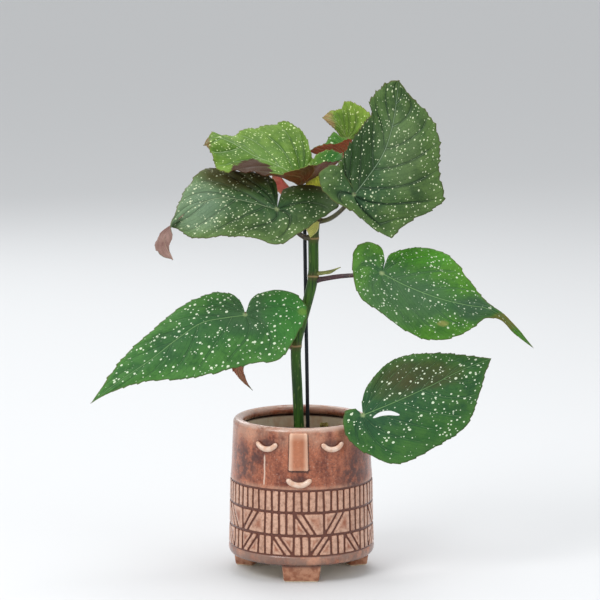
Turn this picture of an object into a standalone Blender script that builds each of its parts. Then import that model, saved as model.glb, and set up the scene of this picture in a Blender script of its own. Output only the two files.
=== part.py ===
"""Potted angel wing begonia: a glazed pot on three feet, soil, a stake, a cane and its leaves.

Sizes are in millimetres from the pot's axis: +X to the right, +Y away from the viewer, +Z up,
with the feet on Z = 0. The meshes themselves are in metres. The last lines shift the whole
plant so that its box stands centred on the origin.
"""
import math

import bmesh
import bpy
import numpy as np
from mathutils import Matrix, Vector

MM = 0.001
GAP = 0.3                   # between pieces that touch
WELD = 0.02                 # corners closer than this are one
AXIS_SHIFT = (-11.1, 13.8)  # from the pot's axis to the middle of the whole plant's box

# Pot: turned body, rim bead, three bands of relief and three feet
BEAD_RADIUS = 5.3
BEAD_CENTRE = (62.8, 149.0)
LIP_RADIUS = 57.5
INNER_RADIUS = 62.0
FLOOR_TOP = 23.0
UNDERSIDE = 17.0
BAND_GROOVES = {93.0: 70.2, 71.0: 70.7, 48.1: 71.0, 27.4: 71.7}   # height: radius of the wall
GROOVE_HALF = 1.3
GROOVE_DEPTH = 1.2
STAVES = 60
PAD_INSET = 0.75
PAD_RISE = 0.9
FOOT_ANGLES = (-90.0, 22.0, 158.0)
FOOT_WIDTH = (39.5, 34.5)   # across, at the top and at the bottom
FOOT_REACH = (46.0, 65.0)   # from the pot's axis to the foot's inner and outer face
FOOT_TOP = 20.0
FACE_TURN = -92.4           # direction that the relief face looks in

# Soil, stake and cane
SOIL_TOP = 133.0
STAKE_RADIUS = 1.85
CANE_RADIUS = 5.1
CANE_ROUTE = [(-2.2, 0, 76), (-2.1, 0, 133), (-4, 0, 180), (-5.5, 0, 221), (-4.2, 0, 231), (9.9, 0, 285),
              (11.7, 0, 296), (11.9, 0, 333), (13.2, 2, 350), (13, 4, 366), (12, 5, 377)]
CANE_NODES = (225.5, 295.3, 333.3, 351.0, 366.0)
CANE_THINS_ABOVE = 345.0
STAKE_ROUTE = [(7.0, 11, 42), (6.4, 11, 140), (4.8, 11, 240), (3.2, 11, 346)]

# Leaves. A blade leans back by lean for each unit of height and turns back by swing for each unit
# of width; its margins lie bow behind the midrib, with waves of height wave and teeth of tooth.
BLADE = 0.8                 # thickness of a leaf
FAN_SHARE = 0.4             # share of the rows that run out from the petiole's joint
USUAL_LEAF = {"lean": 0.0, "swing": 0.0, "rows": 27, "columns": 6, "bow": 5.0, "wave": 3.0, "waves": 2.5,
              "tooth": 1.6}
STALK_RADII = (2.6, 1.8)    # at the cane and at the blade
STALK_END = 1.2             # from the middle of the blade to the stalk's end


for old in list(bpy.data.objects):
    bpy.data.objects.remove(old)

parts = bpy.data.collections.new("angel_wing_begonia")
cutters = bpy.data.collections.new("cutters")
bpy.context.scene.collection.children.link(parts)
bpy.context.scene.collection.children.link(cutters)


def material(name, colour, roughness, metallic=0.0):
    """A plain surface of one colour."""
    made = bpy.data.materials.new(name)
    made.use_nodes = True
    shader = made.node_tree.nodes["Principled BSDF"]
    shader.inputs["Base Color"].default_value = (*colour, 1.0)
    shader.inputs["Roughness"].default_value = roughness
    shader.inputs["Metallic"].default_value = metallic
    return made


GLAZE = material("glazed_terracotta", (0.26, 0.11, 0.07), 0.2)
SOIL = material("potting_soil", (0.03, 0.02, 0.015), 0.95)
DARK_STAKE = material("stake_coating", (0.02, 0.03, 0.02), 0.5)
CANE = material("cane_skin", (0.13, 0.2, 0.06), 0.5)
PETIOLE = material("petiole_skin", (0.09, 0.04, 0.04), 0.45)
LEAF = material("spotted_leaf", (0.05, 0.14, 0.04), 0.4)
YOUNG_LEAF = material("young_leaf", (0.19, 0.3, 0.07), 0.4)
STIPULE = material("papery_stipule", (0.4, 0.42, 0.12), 0.55)
DRY = material("dry_scrap", (0.45, 0.4, 0.14), 0.7)


def smooth_run(points, count):
    """Points at even distances along a smooth curve through the given ones."""
    given = np.array(points, dtype=float)
    gap = np.sqrt(np.linalg.norm(np.diff(given, axis=0), axis=1))
    rate = np.diff(given, axis=0) / gap[:, None]
    slope = np.vstack((rate[:1], rate[-1:]))
    if len(given) > 2:
        before, after = gap[:-1, None], gap[1:, None]
        middle = (rate[:-1] * after + rate[1:] * before) / (before + after)
        slope = np.vstack((rate[:1], middle, rate[-1:]))
    fine = [given[:1]]
    for i, h in enumerate(gap):
        t = np.linspace(0.0, 1.0, 17)[1:, None]
        fine.append((2 * t**3 - 3 * t**2 + 1) * given[i] + (3 * t**2 - 2 * t**3) * given[i + 1]
                    + (t**3 - 2 * t**2 + t) * h * slope[i] + (t**3 - t**2) * h * slope[i + 1])
    fine = np.vstack(fine)
    walked = np.concatenate(([0.0], np.cumsum(np.linalg.norm(np.diff(fine, axis=0), axis=1))))
    wanted = np.linspace(0.0, walked[-1], count)
    return np.column_stack([np.interp(wanted, walked, fine[:, k]) for k in range(given.shape[1])])


def add_object(name, data, surface, group=parts):
    """Links a mesh or a curve into the scene under its own name."""
    made = bpy.data.objects.new(name, data)
    group.objects.link(made)
    if not made.data.materials:
        made.data.materials.append(surface)
    if group is cutters:
        made.hide_render = True
        made.display_type = "WIRE"
    return made


def add_tube(name, route, radii, surface, sides_step=2, group=parts):
    """A round rod along the route, whose thickness follows the radii."""
    curve = bpy.data.curves.new(name, "CURVE")
    curve.dimensions = "3D"
    curve.bevel_depth = MM
    curve.bevel_resolution = sides_step
    curve.use_fill_caps = True
    line = curve.splines.new("POLY")
    line.points.add(len(route) - 1)
    for point, place, radius in zip(line.points, route, radii):
        point.co = (*(Vector(place) * MM), 1.0)
        point.radius = radius
    return add_object(name, curve, surface, group)


def to_mesh(source):
    """Turns a curve, or an object with modifiers, into a plain closed mesh."""
    bpy.context.view_layer.update()
    evaluated = source.evaluated_get(bpy.context.evaluated_depsgraph_get())
    data = bpy.data.meshes.new_from_object(evaluated)
    work = bmesh.new()
    work.from_mesh(data)
    bmesh.ops.remove_doubles(work, verts=work.verts, dist=WELD * MM)
    work.to_mesh(data)
    work.free()
    made = bpy.data.objects.new(source.name, data)
    made.matrix_world = source.matrix_world
    for group in source.users_collection:
        group.objects.link(made)
    name = source.name
    made.hide_render, made.display_type = source.hide_render, source.display_type
    bpy.data.objects.remove(source)
    made.name = name
    return made


def combine(body, others, how):
    """Joins the others to the body, or cuts them out of it, and drops them."""
    for number, other in enumerate(others):
        step = body.modifiers.new(f"step_{number}", "BOOLEAN")
        step.operation = how
        step.object = other
    made = to_mesh(body)
    for other in others:
        bpy.data.objects.remove(other)
    return made


def smooth(body, sharp_above=35.0):
    """Shades a piece smooth, with a crease only where it turns sharply."""
    body.data.shade_smooth()
    body.data.set_sharp_from_angle(angle=math.radians(sharp_above))


# The pot

def pot_profile():
    """The wall's section, from the middle of the floor over the rim to the underside."""
    centre_x, centre_z = BEAD_CENTRE
    points = [(0.0, FLOOR_TOP), (57.0, FLOOR_TOP), (INNER_RADIUS, 29.0), (INNER_RADIUS, 145.0)]
    points.append((LIP_RADIUS, 147.0))
    for turn in range(180, -1, -30):
        angle = math.radians(turn)
        points.append((centre_x + BEAD_RADIUS * math.cos(angle), centre_z + BEAD_RADIUS * math.sin(angle)))
    points += [(68.1, 146.5), (69.2, 120.0)]
    for height, radius in BAND_GROOVES.items():
        points += [(radius, height + GROOVE_HALF), (radius - GROOVE_DEPTH, height)]
        points.append((radius, height - GROOVE_HALF))
    points += [(72.0, 24.0), (71.2, 20.0), (69.0, UNDERSIDE + 0.6), (66.0, UNDERSIDE), (0.0, UNDERSIDE)]
    return points


def turned_body():
    """The pot's wall and floor, turned from the profile with one flat for each stave."""
    data = bpy.data.meshes.new("pot")
    profile = [(x * MM, 0.0, z * MM) for x, z in pot_profile()]
    data.from_pydata(profile, [(i, i + 1) for i in range(len(profile) - 1)], [])
    body = add_object("pot", data, GLAZE)
    screw = body.modifiers.new("turned", "SCREW")
    screw.steps = screw.render_steps = STAVES
    screw.use_merge_vertices = True
    screw.merge_threshold = 0.00002
    screw.use_smooth_shade = True
    return to_mesh(body)


def stave_number(point):
    """How many staves round the pot a corner is, from the middle of the front."""
    angle = math.degrees(math.atan2(point.y, point.x)) + 90.0
    return round(angle * STAVES / 360.0) % STAVES


def band_faces(work, low, high):
    """The faces of the wall between two ring grooves."""
    low, high = (low + GROOVE_HALF) * MM, (high - GROOVE_HALF) * MM
    slack = 0.2 * MM
    return [face for face in work.faces
            if all(low - slack < v.co.z < high + slack and v.co.xy.length > 0.068 for v in face.verts)]


def relief_band(work, low, high, motifs, start):
    """Raised pads between two ring grooves: bars, and slanting strips between triangles.

    A motif is its name and its width in staves, and the list repeats round the pot.
    """
    faces = band_faces(work, low, high)
    middle = (low + high) / 2 * MM
    by_place = {}
    for face in faces:
        for v in face.verts:
            by_place[stave_number(v.co), v.co.z > middle] = v
    spare, splits, place = [], [], start
    while place < start + STAVES:
        for kind, width in motifs:
            if kind != "bars":
                spare += [(k % STAVES) for k in range(place + 1, place + width)]
                for offset in (0, 1):
                    top, bottom = place + offset, place + offset + 2
                    if kind == "rise":
                        top, bottom = bottom, top
                    splits.append((by_place[top % STAVES, True], by_place[bottom % STAVES, False]))
            place += width
    upright = [work.edges.get((by_place[k, True], by_place[k, False])) for k in spare]
    bmesh.ops.dissolve_edges(work, edges=upright, use_verts=False)
    for top, bottom in splits:
        shared = set(top.link_faces) & set(bottom.link_faces)
        for face in shared:
            bmesh.utils.face_split(face, top, bottom)
    pads = band_faces(work, low, high)
    bmesh.ops.inset_individual(work, faces=pads, thickness=PAD_INSET * MM, depth=PAD_RISE * MM,
                               use_even_offset=True)
    bmesh.ops.triangulate(work, faces=pads, quad_method="SHORT_EDGE", ngon_method="BEAUTY")


def crescent(name, turn, ends_z, half_width, drop, thick=2.9, radius=69.6):
    """A raised bow like a closed eye or a smile, as a rod with round ends along the wall."""
    route, radii = [], []
    for t in np.linspace(-1.0, 1.0, 13):
        angle = math.radians(FACE_TURN) + (turn + half_width * t) / radius
        z = ends_z - drop * (1.0 - abs(t) ** 2.4)
        route.append((radius * math.cos(angle), radius * math.sin(angle), z))
        radii.append(thick * (0.5 if abs(t) > 0.99 else 1.0 - 0.15 * t * t))
    return to_mesh(add_tube(name, route, radii, GLAZE, 2, cutters))


def tapered_block(name, size_top, size_bottom, height, edge):
    """An upright block, wider at one end, with rounded edges, standing on its own origin."""
    work = bmesh.new()
    bmesh.ops.create_cube(work, size=1.0)
    for v in work.verts:
        width, depth = size_top if v.co.z > 0 else size_bottom
        v.co = Vector((v.co.x * width, v.co.y * depth, (v.co.z + 0.5) * height)) * MM
    bmesh.ops.bevel(work, geom=work.edges[:], offset=edge * MM, offset_type="OFFSET", segments=2,
                    profile=0.5, affect="EDGES", material=-1)
    data = bpy.data.meshes.new(name)
    work.to_mesh(data)
    work.free()
    return add_object(name, data, GLAZE, cutters)


def make_pot():
    body = turned_body()
    work = bmesh.new()
    work.from_mesh(body.data)
    heights = list(BAND_GROOVES)
    relief_band(work, heights[1], heights[0], [("bars", STAVES)], 0)
    relief_band(work, heights[2], heights[1], [("fall", 4), ("rise", 4), ("bars", 4)], -1)
    relief_band(work, heights[3], heights[2], [("fall", 3), ("bars", 2), ("rise", 3), ("bars", 2)], -4)
    work.to_mesh(body.data)
    work.free()
    added = [crescent("left_eye", -32.7, 139.7, 11.4, 6.7), crescent("right_eye", 34.3, 139.7, 11.4, 6.7),
             crescent("mouth", 0.5, 104.9, 12.0, 6.3, 3.1)]
    nose = tapered_block("nose", (17.5, 6.4), (19.5, 8.0), 37.5, 2.0)
    nose.matrix_world = (Matrix.Rotation(math.radians(FACE_TURN + 90.0), 4, "Z")
                         @ Matrix.Translation(Vector((0.0, -68.2, 112.7)) * MM))
    added.append(nose)
    inner, outer = FOOT_REACH
    for number, turn in enumerate(FOOT_ANGLES):
        foot = tapered_block(f"foot_{number}", (FOOT_WIDTH[0], outer - inner + 4.0),
                             (FOOT_WIDTH[1], outer - inner), FOOT_TOP, 2.5)
        foot.matrix_world = (Matrix.Rotation(math.radians(turn + 90.0), 4, "Z")
                             @ Matrix.Translation(Vector((0.0, -(inner + outer) / 2, 0.0)) * MM))
        added.append(foot)
    bpy.context.view_layer.update()
    return combine(body, added, "UNION")


# Soil, stake and cane

def cane_radius(height):
    """The cane thins towards its top and swells at every node."""
    swell = sum(math.exp(-((height - z) / 3.0) ** 2) for z in CANE_NODES)
    thin = max(0.0, height - CANE_THINS_ABOVE) / (CANE_ROUTE[-1][2] - CANE_THINS_ABOVE)
    return CANE_RADIUS * (1.0 - 0.25 * thin) * (1.0 + 0.1 * swell)


def cane_seat(height, heading, rise, stalk_radius):
    """The first two points of a stalk that leaves the cane's skin with its end flat against it."""
    route = smooth_run(CANE_ROUTE, 200)
    below, above = (np.array([np.interp(z, route[:, 2], route[:, k]) for k in range(2)])
                    for z in (height - 1.0, height + 1.0))
    across, up = math.radians(heading), math.radians(rise)
    away = np.array([math.cos(across), math.sin(across)])
    slant = (above - below) @ away / 2.0
    tilt = abs(math.sin(up) + slant * math.cos(up))
    start = (above + below) / 2.0 + away * (cane_radius(height) + GAP + stalk_radius * tilt)
    out = Vector((*(away * math.cos(up)), math.sin(up)))
    start = Vector((*start, height))
    return [tuple(start), tuple(start + 3.5 * out)]


def make_cane():
    route = smooth_run(CANE_ROUTE, 50)
    return add_tube("cane", route, [cane_radius(p[2]) for p in route], CANE)


def make_stake():
    route = smooth_run(STAKE_ROUTE, 8)
    return add_tube("stake", route, [STAKE_RADIUS] * len(route), DARK_STAKE)


def make_soil():
    """A plug of soil that fills the pot, with plain holes for the cane and the stake."""
    work = bmesh.new()
    radius = (INNER_RADIUS - GAP - 0.2) * MM
    depth = (SOIL_TOP - FLOOR_TOP - GAP) * MM
    bmesh.ops.create_cone(work, cap_ends=True, segments=STAVES, radius1=radius - 5.5 * MM, radius2=radius,
                          depth=depth, matrix=Matrix.Translation((0, 0, SOIL_TOP * MM - depth / 2)))
    data = bpy.data.meshes.new("soil")
    work.to_mesh(data)
    work.free()
    body = add_object("soil", data, SOIL)
    cane_end, stake_end = Vector(CANE_ROUTE[0]), Vector(STAKE_ROUTE[0])
    cane_hole = [cane_end - Vector((0, 0, GAP)), Vector(CANE_ROUTE[1]) + Vector((0, 0, 7))]
    stake_hole = [stake_end - Vector((0, 0, GAP)), Vector(STAKE_ROUTE[1])]
    holes = [to_mesh(add_tube("cane_hole", cane_hole, [CANE_RADIUS + 0.9] * 2, SOIL, 3, cutters)),
             to_mesh(add_tube("stake_hole", stake_hole, [STAKE_RADIUS + 0.5] * 2, SOIL, 3, cutters))]
    return combine(body, holes, "DIFFERENCE")


# Leaves

def with_depth(points, lean, swing):
    """Guide points (x, z) or (x, z, depth), as x, depth, z: the blade leans back and turns."""
    return [(p[0], lean * p[1] + swing * p[0] + (p[2] if len(p) > 2 else 0.0), p[1]) for p in points]


def margin(points, fan, rows):
    """The edge of half a blade, with its first part given to the rows that fan from the joint."""
    fine = smooth_run(points, 400)
    share = np.linspace(0.0, 1.0, rows)
    along = np.where(share < FAN_SHARE, share / FAN_SHARE * fan,
                     fan + (share - FAN_SHARE) / (1.0 - FAN_SHARE) * (1.0 - fan))
    walked = np.linspace(0.0, 1.0, len(fine))
    return np.column_stack([np.interp(along, walked, fine[:, k]) for k in range(3)])


def make_leaf(name, leaf, surface):
    """A thin blade lofted across its midrib, from the left edge to the right edge.

    The first rows run out from the petiole's joint, the others from the midrib.
    """
    leaf = {**USUAL_LEAF, **leaf}
    lean, swing, rows = leaf["lean"], leaf["swing"], leaf["rows"]
    joint = np.array(leaf["joint"], dtype=float)
    edges = {}
    for side, fan in zip(("left", "right"), leaf["fan"]):
        points = with_depth(leaf[side] + [leaf["spine"][-1]], lean, swing)
        edges[side] = margin(points, fan, rows)
    spine = smooth_run([(0.0, 0.0, 0.0)] + with_depth(leaf["spine"], lean, swing), 200)
    work = bmesh.new()
    bmesh.ops.create_grid(work, x_segments=leaf["columns"], y_segments=rows - 1, size=1.0)
    for v in work.verts:
        across, share = v.co.x, (v.co.y + 1.0) / 2.0
        row = round(share * (rows - 1))
        walked = max(0.0, (share - FAN_SHARE) / (1.0 - FAN_SHARE))
        middle = np.array([np.interp(walked, np.linspace(0, 1, 200), spine[:, k]) for k in range(3)])
        side = "left" if across < 0 else "right"
        reach = edges[side][row] - middle
        length = np.linalg.norm(reach)
        if abs(across) > 0.99 and row % 2 and 0 < row < rows - 1 and length > 12.0:
            reach = reach * (1.0 + leaf["tooth"] / length)
        place = middle + reach * abs(across)
        wave = leaf["wave"] * math.sin(math.tau * (leaf["waves"] * share + 0.3 * (side == "left")))
        place[1] += min(1.0, length / 40.0) * (leaf["bow"] * across**2 + wave * abs(across)**1.5)
        v.co = Vector(joint + place) * MM
    bmesh.ops.remove_doubles(work, verts=work.verts, dist=0.1 * MM)
    bmesh.ops.dissolve_degenerate(work, edges=work.edges, dist=0.05 * MM)
    bmesh.ops.triangulate(work, faces=work.faces)
    data = bpy.data.meshes.new(name)
    work.to_mesh(data)
    work.free()
    made = add_object(name, data, surface)
    thick = made.modifiers.new("thickness", "SOLIDIFY")
    thick.thickness = BLADE * MM
    thick.offset = 0.0
    thick.use_even_offset = False
    return made


def make_petiole(name, leaf):
    """A leaf's stalk, from the cane's skin to the back of the blade."""
    route = leaf["stalk"] + [behind(leaf, 7.0), behind(leaf, STALK_END)]
    if "seat" in leaf:
        route = cane_seat(*leaf["seat"], STALK_RADII[0]) + route
    points = smooth_run(route, 13)
    return add_tube(name, points, np.linspace(*STALK_RADII, len(points)), PETIOLE, 1)


def behind(leaf, distance):
    """The place at a distance behind the joint, square to the blade."""
    if "up" in leaf:
        face = Vector(leaf["up"]).normalized()
    else:
        face = Vector((leaf.get("swing", 0.0), -1.0, leaf.get("lean", 0.0))).normalized()
    return tuple(Vector(leaf["joint"]) - face * distance)


LEAVES = {
    "low_left": {
        "joint": (-55, -30, 261), "lean": 0.75, "swing": 0.10, "fan": (0.53, 0.25),
        "spine": [(-19, -2), (-42, -6), (-66, -20), (-93, -39), (-121, -56), (-148, -75)],
        "left": [(6, 12), (33, 20), (54, 13), (60, 3), (57, -7), (50, -19), (42, -30), (34, -40), (12, -43),
                 (-10, -47), (-57, -55), (-102, -58), (-132, -67)],
        "right": [(-5, 11), (-26, 19), (-57, 10), (-90, -13), (-117, -36), (-137, -61)],
        "seat": (227, 185, 12), "stalk": [(-30, -6, 240), (-44, -15, 252)],
    },
    "low_back": {
        "joint": (-39, 22, 251), "fan": (0.5, 0.5), "rows": 21, "up": (0.1, 1.0, 0.3),
        "spine": [(-5, -22, 8), (-14, -39, 10), (-24, -53, 10), (-20, -65, 6), (-10, -75, 2)],
        "left": [(-6, 5, 0), (-22, 3, 6), (-40, -7, 14), (-47, -24, 20), (-38, -44, 18), (-28, -58, 12),
                 (-20, -67, 6)],
        "right": [(6, 9, -2), (22, 4, 4), (30, -12, 10), (20, -30, 12), (-4, -43, 11), (-19, -52, 9),
                  (-18, -61, 7), (-15, -68, 4)],
        "seat": (223, 135, 12), "stalk": [(-24, 11, 233), (-34, 14, 245)],
        "bow": -3.0,
    },
    "low_right": {
        "joint": (60, -62, 167), "lean": 0.35, "swing": 0.10, "fan": (0.4, 0.48),
        "spine": [(32, 12), (66, 26), (98, 41), (127, 51)],
        "left": [(-1, 11), (4.5, 26), (22, 44), (45, 52), (77, 53), (106, 51)],
        "right": [(-7, 6), (-16, 3), (-19, -8), (-11, -26), (12, -40), (33, -46), (73, -31), (101, -12),
                  (115, 19), (121, 38)],
        "seat": (139, -25, 5),
        "stalk": [(24, -14, 141), (38, -27, 144), (43.3, -31.3, 149.5), (45.7, -33.7, 155),
                  (49.5, -38.5, 159)],
    },
    "mid_right": {
        "joint": (79, -28, 302), "lean": 0.45, "swing": -0.10, "fan": (0.22, 0.48),
        "spine": [(23, -11), (54, -22), (81, -28), (102, -31), (116, -38), (131, -52), (146, -67)],
        "left": [(3, 7), (7, 16), (17, 21), (42, 23), (66, 16), (84, -5), (101, -25), (118, -36, -2),
                 (133, -51, -2)],
        "right": [(3, 11), (0, 22), (-13, 28), (-26, 20), (-28, 2), (-21, -22), (0, -37), (16, -49),
                  (41, -61), (63, -60), (83, -52), (101, -40), (115, -42, 3), (129, -55, 3)],
        "seat": (291.7, 0, 9), "stalk": [(38, -4, 295.6), (60, -12, 298)],
    },
    "high_left": {
        "joint": (-24, -35, 366), "lean": 0.9, "swing": 0.10, "fan": (0.55, 0.29),
        "spine": [(-26, 7), (-55, 11), (-79, 4), (-95, -8), (-104, -17), (-108, -28), (-100, -43)],
        "left": [(3, 11), (6, 17), (22, 20), (45, 17), (60, 3), (50, -4), (27, -18), (2, -31), (-24, -25),
                 (-52, -23), (-83, -24), (-95, -17, 3), (-103, -16, 7), (-112, -21, 4), (-117, -30),
                 (-112, -38)],
        "right": [(1, 12), (-2, 23), (-12, 31), (-32, 33), (-60, 37), (-75, 33), (-91, 14), (-99, -4, -3),
                  (-103, -14, -7), (-101, -23, -4), (-104, -32)],
        "seat": (334, 200, 8), "stalk": [(-5, -9, 341), (-14, -20, 352)],
    },
    "high_right": {
        "joint": (51, -50, 382), "lean": 0.20, "swing": 0.15, "fan": (0.25, 0.55), "rows": 33,
        "spine": [(12, 15), (28, 38), (37, 63), (41, 85), (44, 109)],
        "left": [(-4, 10, 3), (-12, 20, 5), (-15, 27, 5), (-10, 34, 4), (-7, 41, 3), (-2, 49, 1), (3, 57),
                 (12, 69), (18, 76), (16, 87), (23, 97), (35, 107)],
        "right": [(-2, 7, -2), (-6, 14, -2), (-12, 24, -2), (-19, 28, -2), (-27, 25), (-33, 17), (-30, 6),
                  (-17, -7), (-1, -15), (16, -30), (36, -41), (50, -28), (74, -17), (87, -6), (82.5, 18),
                  (82, 54), (73, 74), (54, 94)],
        "seat": (350.5, -20, 4), "stalk": [(31, -14, 356), (43, -32, 369)],
    },
    "top_left": {
        "joint": (-2, -4, 385), "fan": (0.42, 0.42), "rows": 25, "up": (-0.3, 0.3, 1.0), "bow": 0.0,
        "wave": 1.5,
        "spine": [(-8, 13, 1), (-26, 23, 2), (-43, 30, 2), (-69, 45, 1), (-83, 49, -2), (-94, 42, -8)],
        "left": [(38, 25, -6), (20, 25, -26), (7, 23, -34), (-5, 19, -39), (-16, 17, -41), (-31, 16, -42),
                 (-48, 19, -39), (-65, 19, -34), (-78, 19, -27), (-84, 30, -18), (-88, 39, -12)],
        "right": [(42, 28, -1), (40, 31, 8), (32, 33, 15), (22, 31, 18), (16, 29, 19), (12.7, 24.5, 20),
                  (11, 30, 24), (9, 38, 31), (4, 48, 42), (-7, 56, 50), (-18, 58, 52), (-31, 54, 52),
                  (-51, 52, 46), (-69, 46, 32), (-86, 51, 10)],
        "seat": (366, 200, 12), "stalk": [(2.5, -1.5, 373)],
    },
    "top_mid": {
        "joint": (48, 38, 410), "fan": (0.35, 0.35), "rows": 15, "columns": 4, "up": (0.1, 0.1, 1.0),
        "bow": 0.0, "wave": 0.5, "tooth": 1.0,
        "spine": [(-14, 4, 0), (-29, 2, -1), (-40, 6, -3)],
        "left": [(2, 18, -10), (-4, 18, -13), (-12, 14, -14), (-22, 14, -14), (-32, 11, -11)],
        "right": [(-2, 17, 6), (-9, 19, 9), (-15, 23, 10), (-22, 15, 8), (-25, 10, 5), (-34, 8, 2)],
        "seat": (370, 30, 15), "stalk": [(33, 22, 386), (43, 33, 399)],
    },
    "top_right": {
        "joint": (46, 58, 425), "fan": (0.4, 0.55), "rows": 17, "columns": 4, "up": (0.0, -0.8, 0.4),
        "bow": 2.0, "wave": 1.0, "tooth": 1.2,
        "spine": [(-5, 11, -2), (-13, 20, -4), (-25, 23, -6)],
        "left": [(-5, 1, -4), (-11, 10, -10), (-18, 17, -10)],
        "right": [(7, 0, 2), (18, 9, 8), (24, 21, 12), (18, 28, 14), (9, 34, 12), (-2, 37, 9), (-6, 30, 6),
                  (-17, 28, 1)],
        "stalk": [(12.1, 5.2, 379.0), (12.7, 6.2, 382.6), (28, 34, 399), (42, 56, 411)],
    },
}
YOUNG = ("top_left", "top_mid", "top_right")   # the leaves of a lighter green


def make_foliage():
    for name, leaf in LEAVES.items():
        surface = YOUNG_LEAF if name in YOUNG else LEAF
        made = make_leaf(f"leaf_{name}", leaf, surface)
        if name == "low_right":
            cut_slit(made, leaf["joint"])
        make_petiole(f"petiole_{name}", leaf)


def cut_slit(blade, joint):
    """The arched tear beside the midrib of the low right leaf."""
    x, y, z = joint
    route = smooth_run([(x + 10, z - 2.5), (x + 17, z + 0.5), (x + 26, z + 1.5), (x + 36, z - 0.5)], 101)
    work = bmesh.new()
    bmesh.ops.create_cone(work, cap_ends=True, segments=12, radius1=1.0, radius2=1.0, depth=1.0)
    for v in work.verts:
        across, up, through = v.co.x, v.co.y, v.co.z
        middle_x, middle_z = route[round((across + 1.0) * 50)]
        v.co = Vector((middle_x, y + 14.0 - through * 60.0, middle_z + up * 2.2)) * MM
    data = bpy.data.meshes.new("slit")
    work.to_mesh(data)
    work.free()
    thick = to_mesh(blade)
    return combine(thick, [add_object("slit", data, LEAF, cutters)], "DIFFERENCE")


STIPULES = {
    "stipule_cane_top": {
        "joint": (12.8, -5.0, 351), "lean": 0.06, "spine": [(-1, -8), (-4, -17)], "tooth": 0.0,
        "left": [(5, -1), (3, -10), (-2, -15)], "right": [(-7, -3), (-8, -8), (-6, -13)],
    },
    "stipule_crown": {
        "joint": (13.5, -0.4, 371), "spine": [(1, 12), (5, 25)], "tooth": 0.0,
        "left": [(-5, 4), (-10, 13), (-6, 21)], "right": [(4, 3), (7, 13), (7, 21)],
    },
    "stipule_pink": {
        "joint": (9.0, 5.7, 360), "spine": [(-19, 14), (-37, 38)], "tooth": 0.0,
        "left": [(-8, 1), (-25, 12), (-38, 27)], "right": [(-1.5, 6), (-14, 16), (-24, 27), (-32, 36)],
    },
}


def make_stipules():
    """Papery scales at the top nodes, and the young shoot in the axil of the middle node."""
    for name, scale in STIPULES.items():
        leaf = {"fan": (0.3, 0.3), "rows": 9, "columns": 4, "bow": 1.5, "wave": 0.0, **scale}
        make_leaf(name, leaf, STIPULE)
    route = smooth_run([(17.4, -2.2, 298.4), (22, -3.2, 299), (31, -4, 301.5), (39, -5, 305)], 9)
    add_tube("side_shoot", route, np.linspace(2.1, 0.5, 9), STIPULE, 1)


def make_dry_scrap():
    """A withered scrap of leaf, curled up on the soil behind the cane."""
    work = bmesh.new()
    bmesh.ops.create_grid(work, x_segments=3, y_segments=6, size=1.0)
    for v in work.verts:
        x, y = v.co.x, v.co.y
        turn = math.radians(110.0) * y
        v.co = Vector((23.0 + 4.5 * x, 42.0 + 3.4 * math.sin(turn) + 1.0 * x,
                       SOIL_TOP + 4.6 - 3.4 * math.cos(turn) + 0.4 * x * x)) * MM
    bmesh.ops.triangulate(work, faces=work.faces)
    data = bpy.data.meshes.new("dry_scrap")
    work.to_mesh(data)
    work.free()
    made = add_object("dry_scrap", data, DRY)
    thick = made.modifiers.new("thickness", "SOLIDIFY")
    thick.thickness = BLADE * MM
    thick.offset = 0.0
    return made


def stand_on_origin():
    """Hangs every part on one empty, which carries the shift from the pot's axis."""
    centre = bpy.data.objects.new("pot_axis", None)
    parts.objects.link(centre)
    for part in list(parts.objects):
        if part is not centre:
            part.parent = centre
    centre.location = Vector((*AXIS_SHIFT, 0.0)) * MM


smooth(make_pot())
smooth(make_soil())
make_stake()
make_cane()
make_foliage()
make_stipules()
make_dry_scrap()
stand_on_origin()
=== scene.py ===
"""A potted angel wing begonia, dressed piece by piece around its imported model.

Sizes in the sections are millimetres from the pot's axis: +X to the right, +Y away from the
viewer, +Z up. Every piece is moved to its place in the plant as its mesh is finished. Colours
are given as they look on a screen, 0 to 255.
"""
import math
import random

import bmesh
import bpy
import numpy as np
from mathutils import Matrix, Vector, noise


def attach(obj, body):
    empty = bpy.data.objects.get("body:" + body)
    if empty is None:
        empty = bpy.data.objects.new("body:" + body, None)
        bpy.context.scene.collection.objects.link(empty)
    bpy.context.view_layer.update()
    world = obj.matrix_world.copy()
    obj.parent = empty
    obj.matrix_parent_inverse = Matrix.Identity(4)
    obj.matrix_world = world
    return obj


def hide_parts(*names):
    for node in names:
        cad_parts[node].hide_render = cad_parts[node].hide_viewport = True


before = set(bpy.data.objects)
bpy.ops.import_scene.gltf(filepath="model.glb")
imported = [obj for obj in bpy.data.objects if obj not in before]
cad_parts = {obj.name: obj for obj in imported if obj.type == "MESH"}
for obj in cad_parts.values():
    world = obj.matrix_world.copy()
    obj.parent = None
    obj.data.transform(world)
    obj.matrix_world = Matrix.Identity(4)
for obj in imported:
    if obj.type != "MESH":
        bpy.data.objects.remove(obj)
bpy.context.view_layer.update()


# Camera
# The photograph is taken from a little above the rim of the pot, with a long lens.
def put_in(name, data):
    """An object with this mesh, lamp or camera, in the scene."""
    made = bpy.data.objects.new(name, data)
    bpy.context.collection.objects.link(made)
    return made


camera_data = bpy.data.cameras.new("camera")
camera_data.sensor_width = 36
camera_data.lens = 183.6
camera_data.clip_end = 50
camera = put_in("camera", camera_data)
camera.location = (-0.0125, -2.9862, 0.725)
camera.rotation_euler = (math.radians(81.4), 0, 0)
bpy.context.scene.camera = camera


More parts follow.
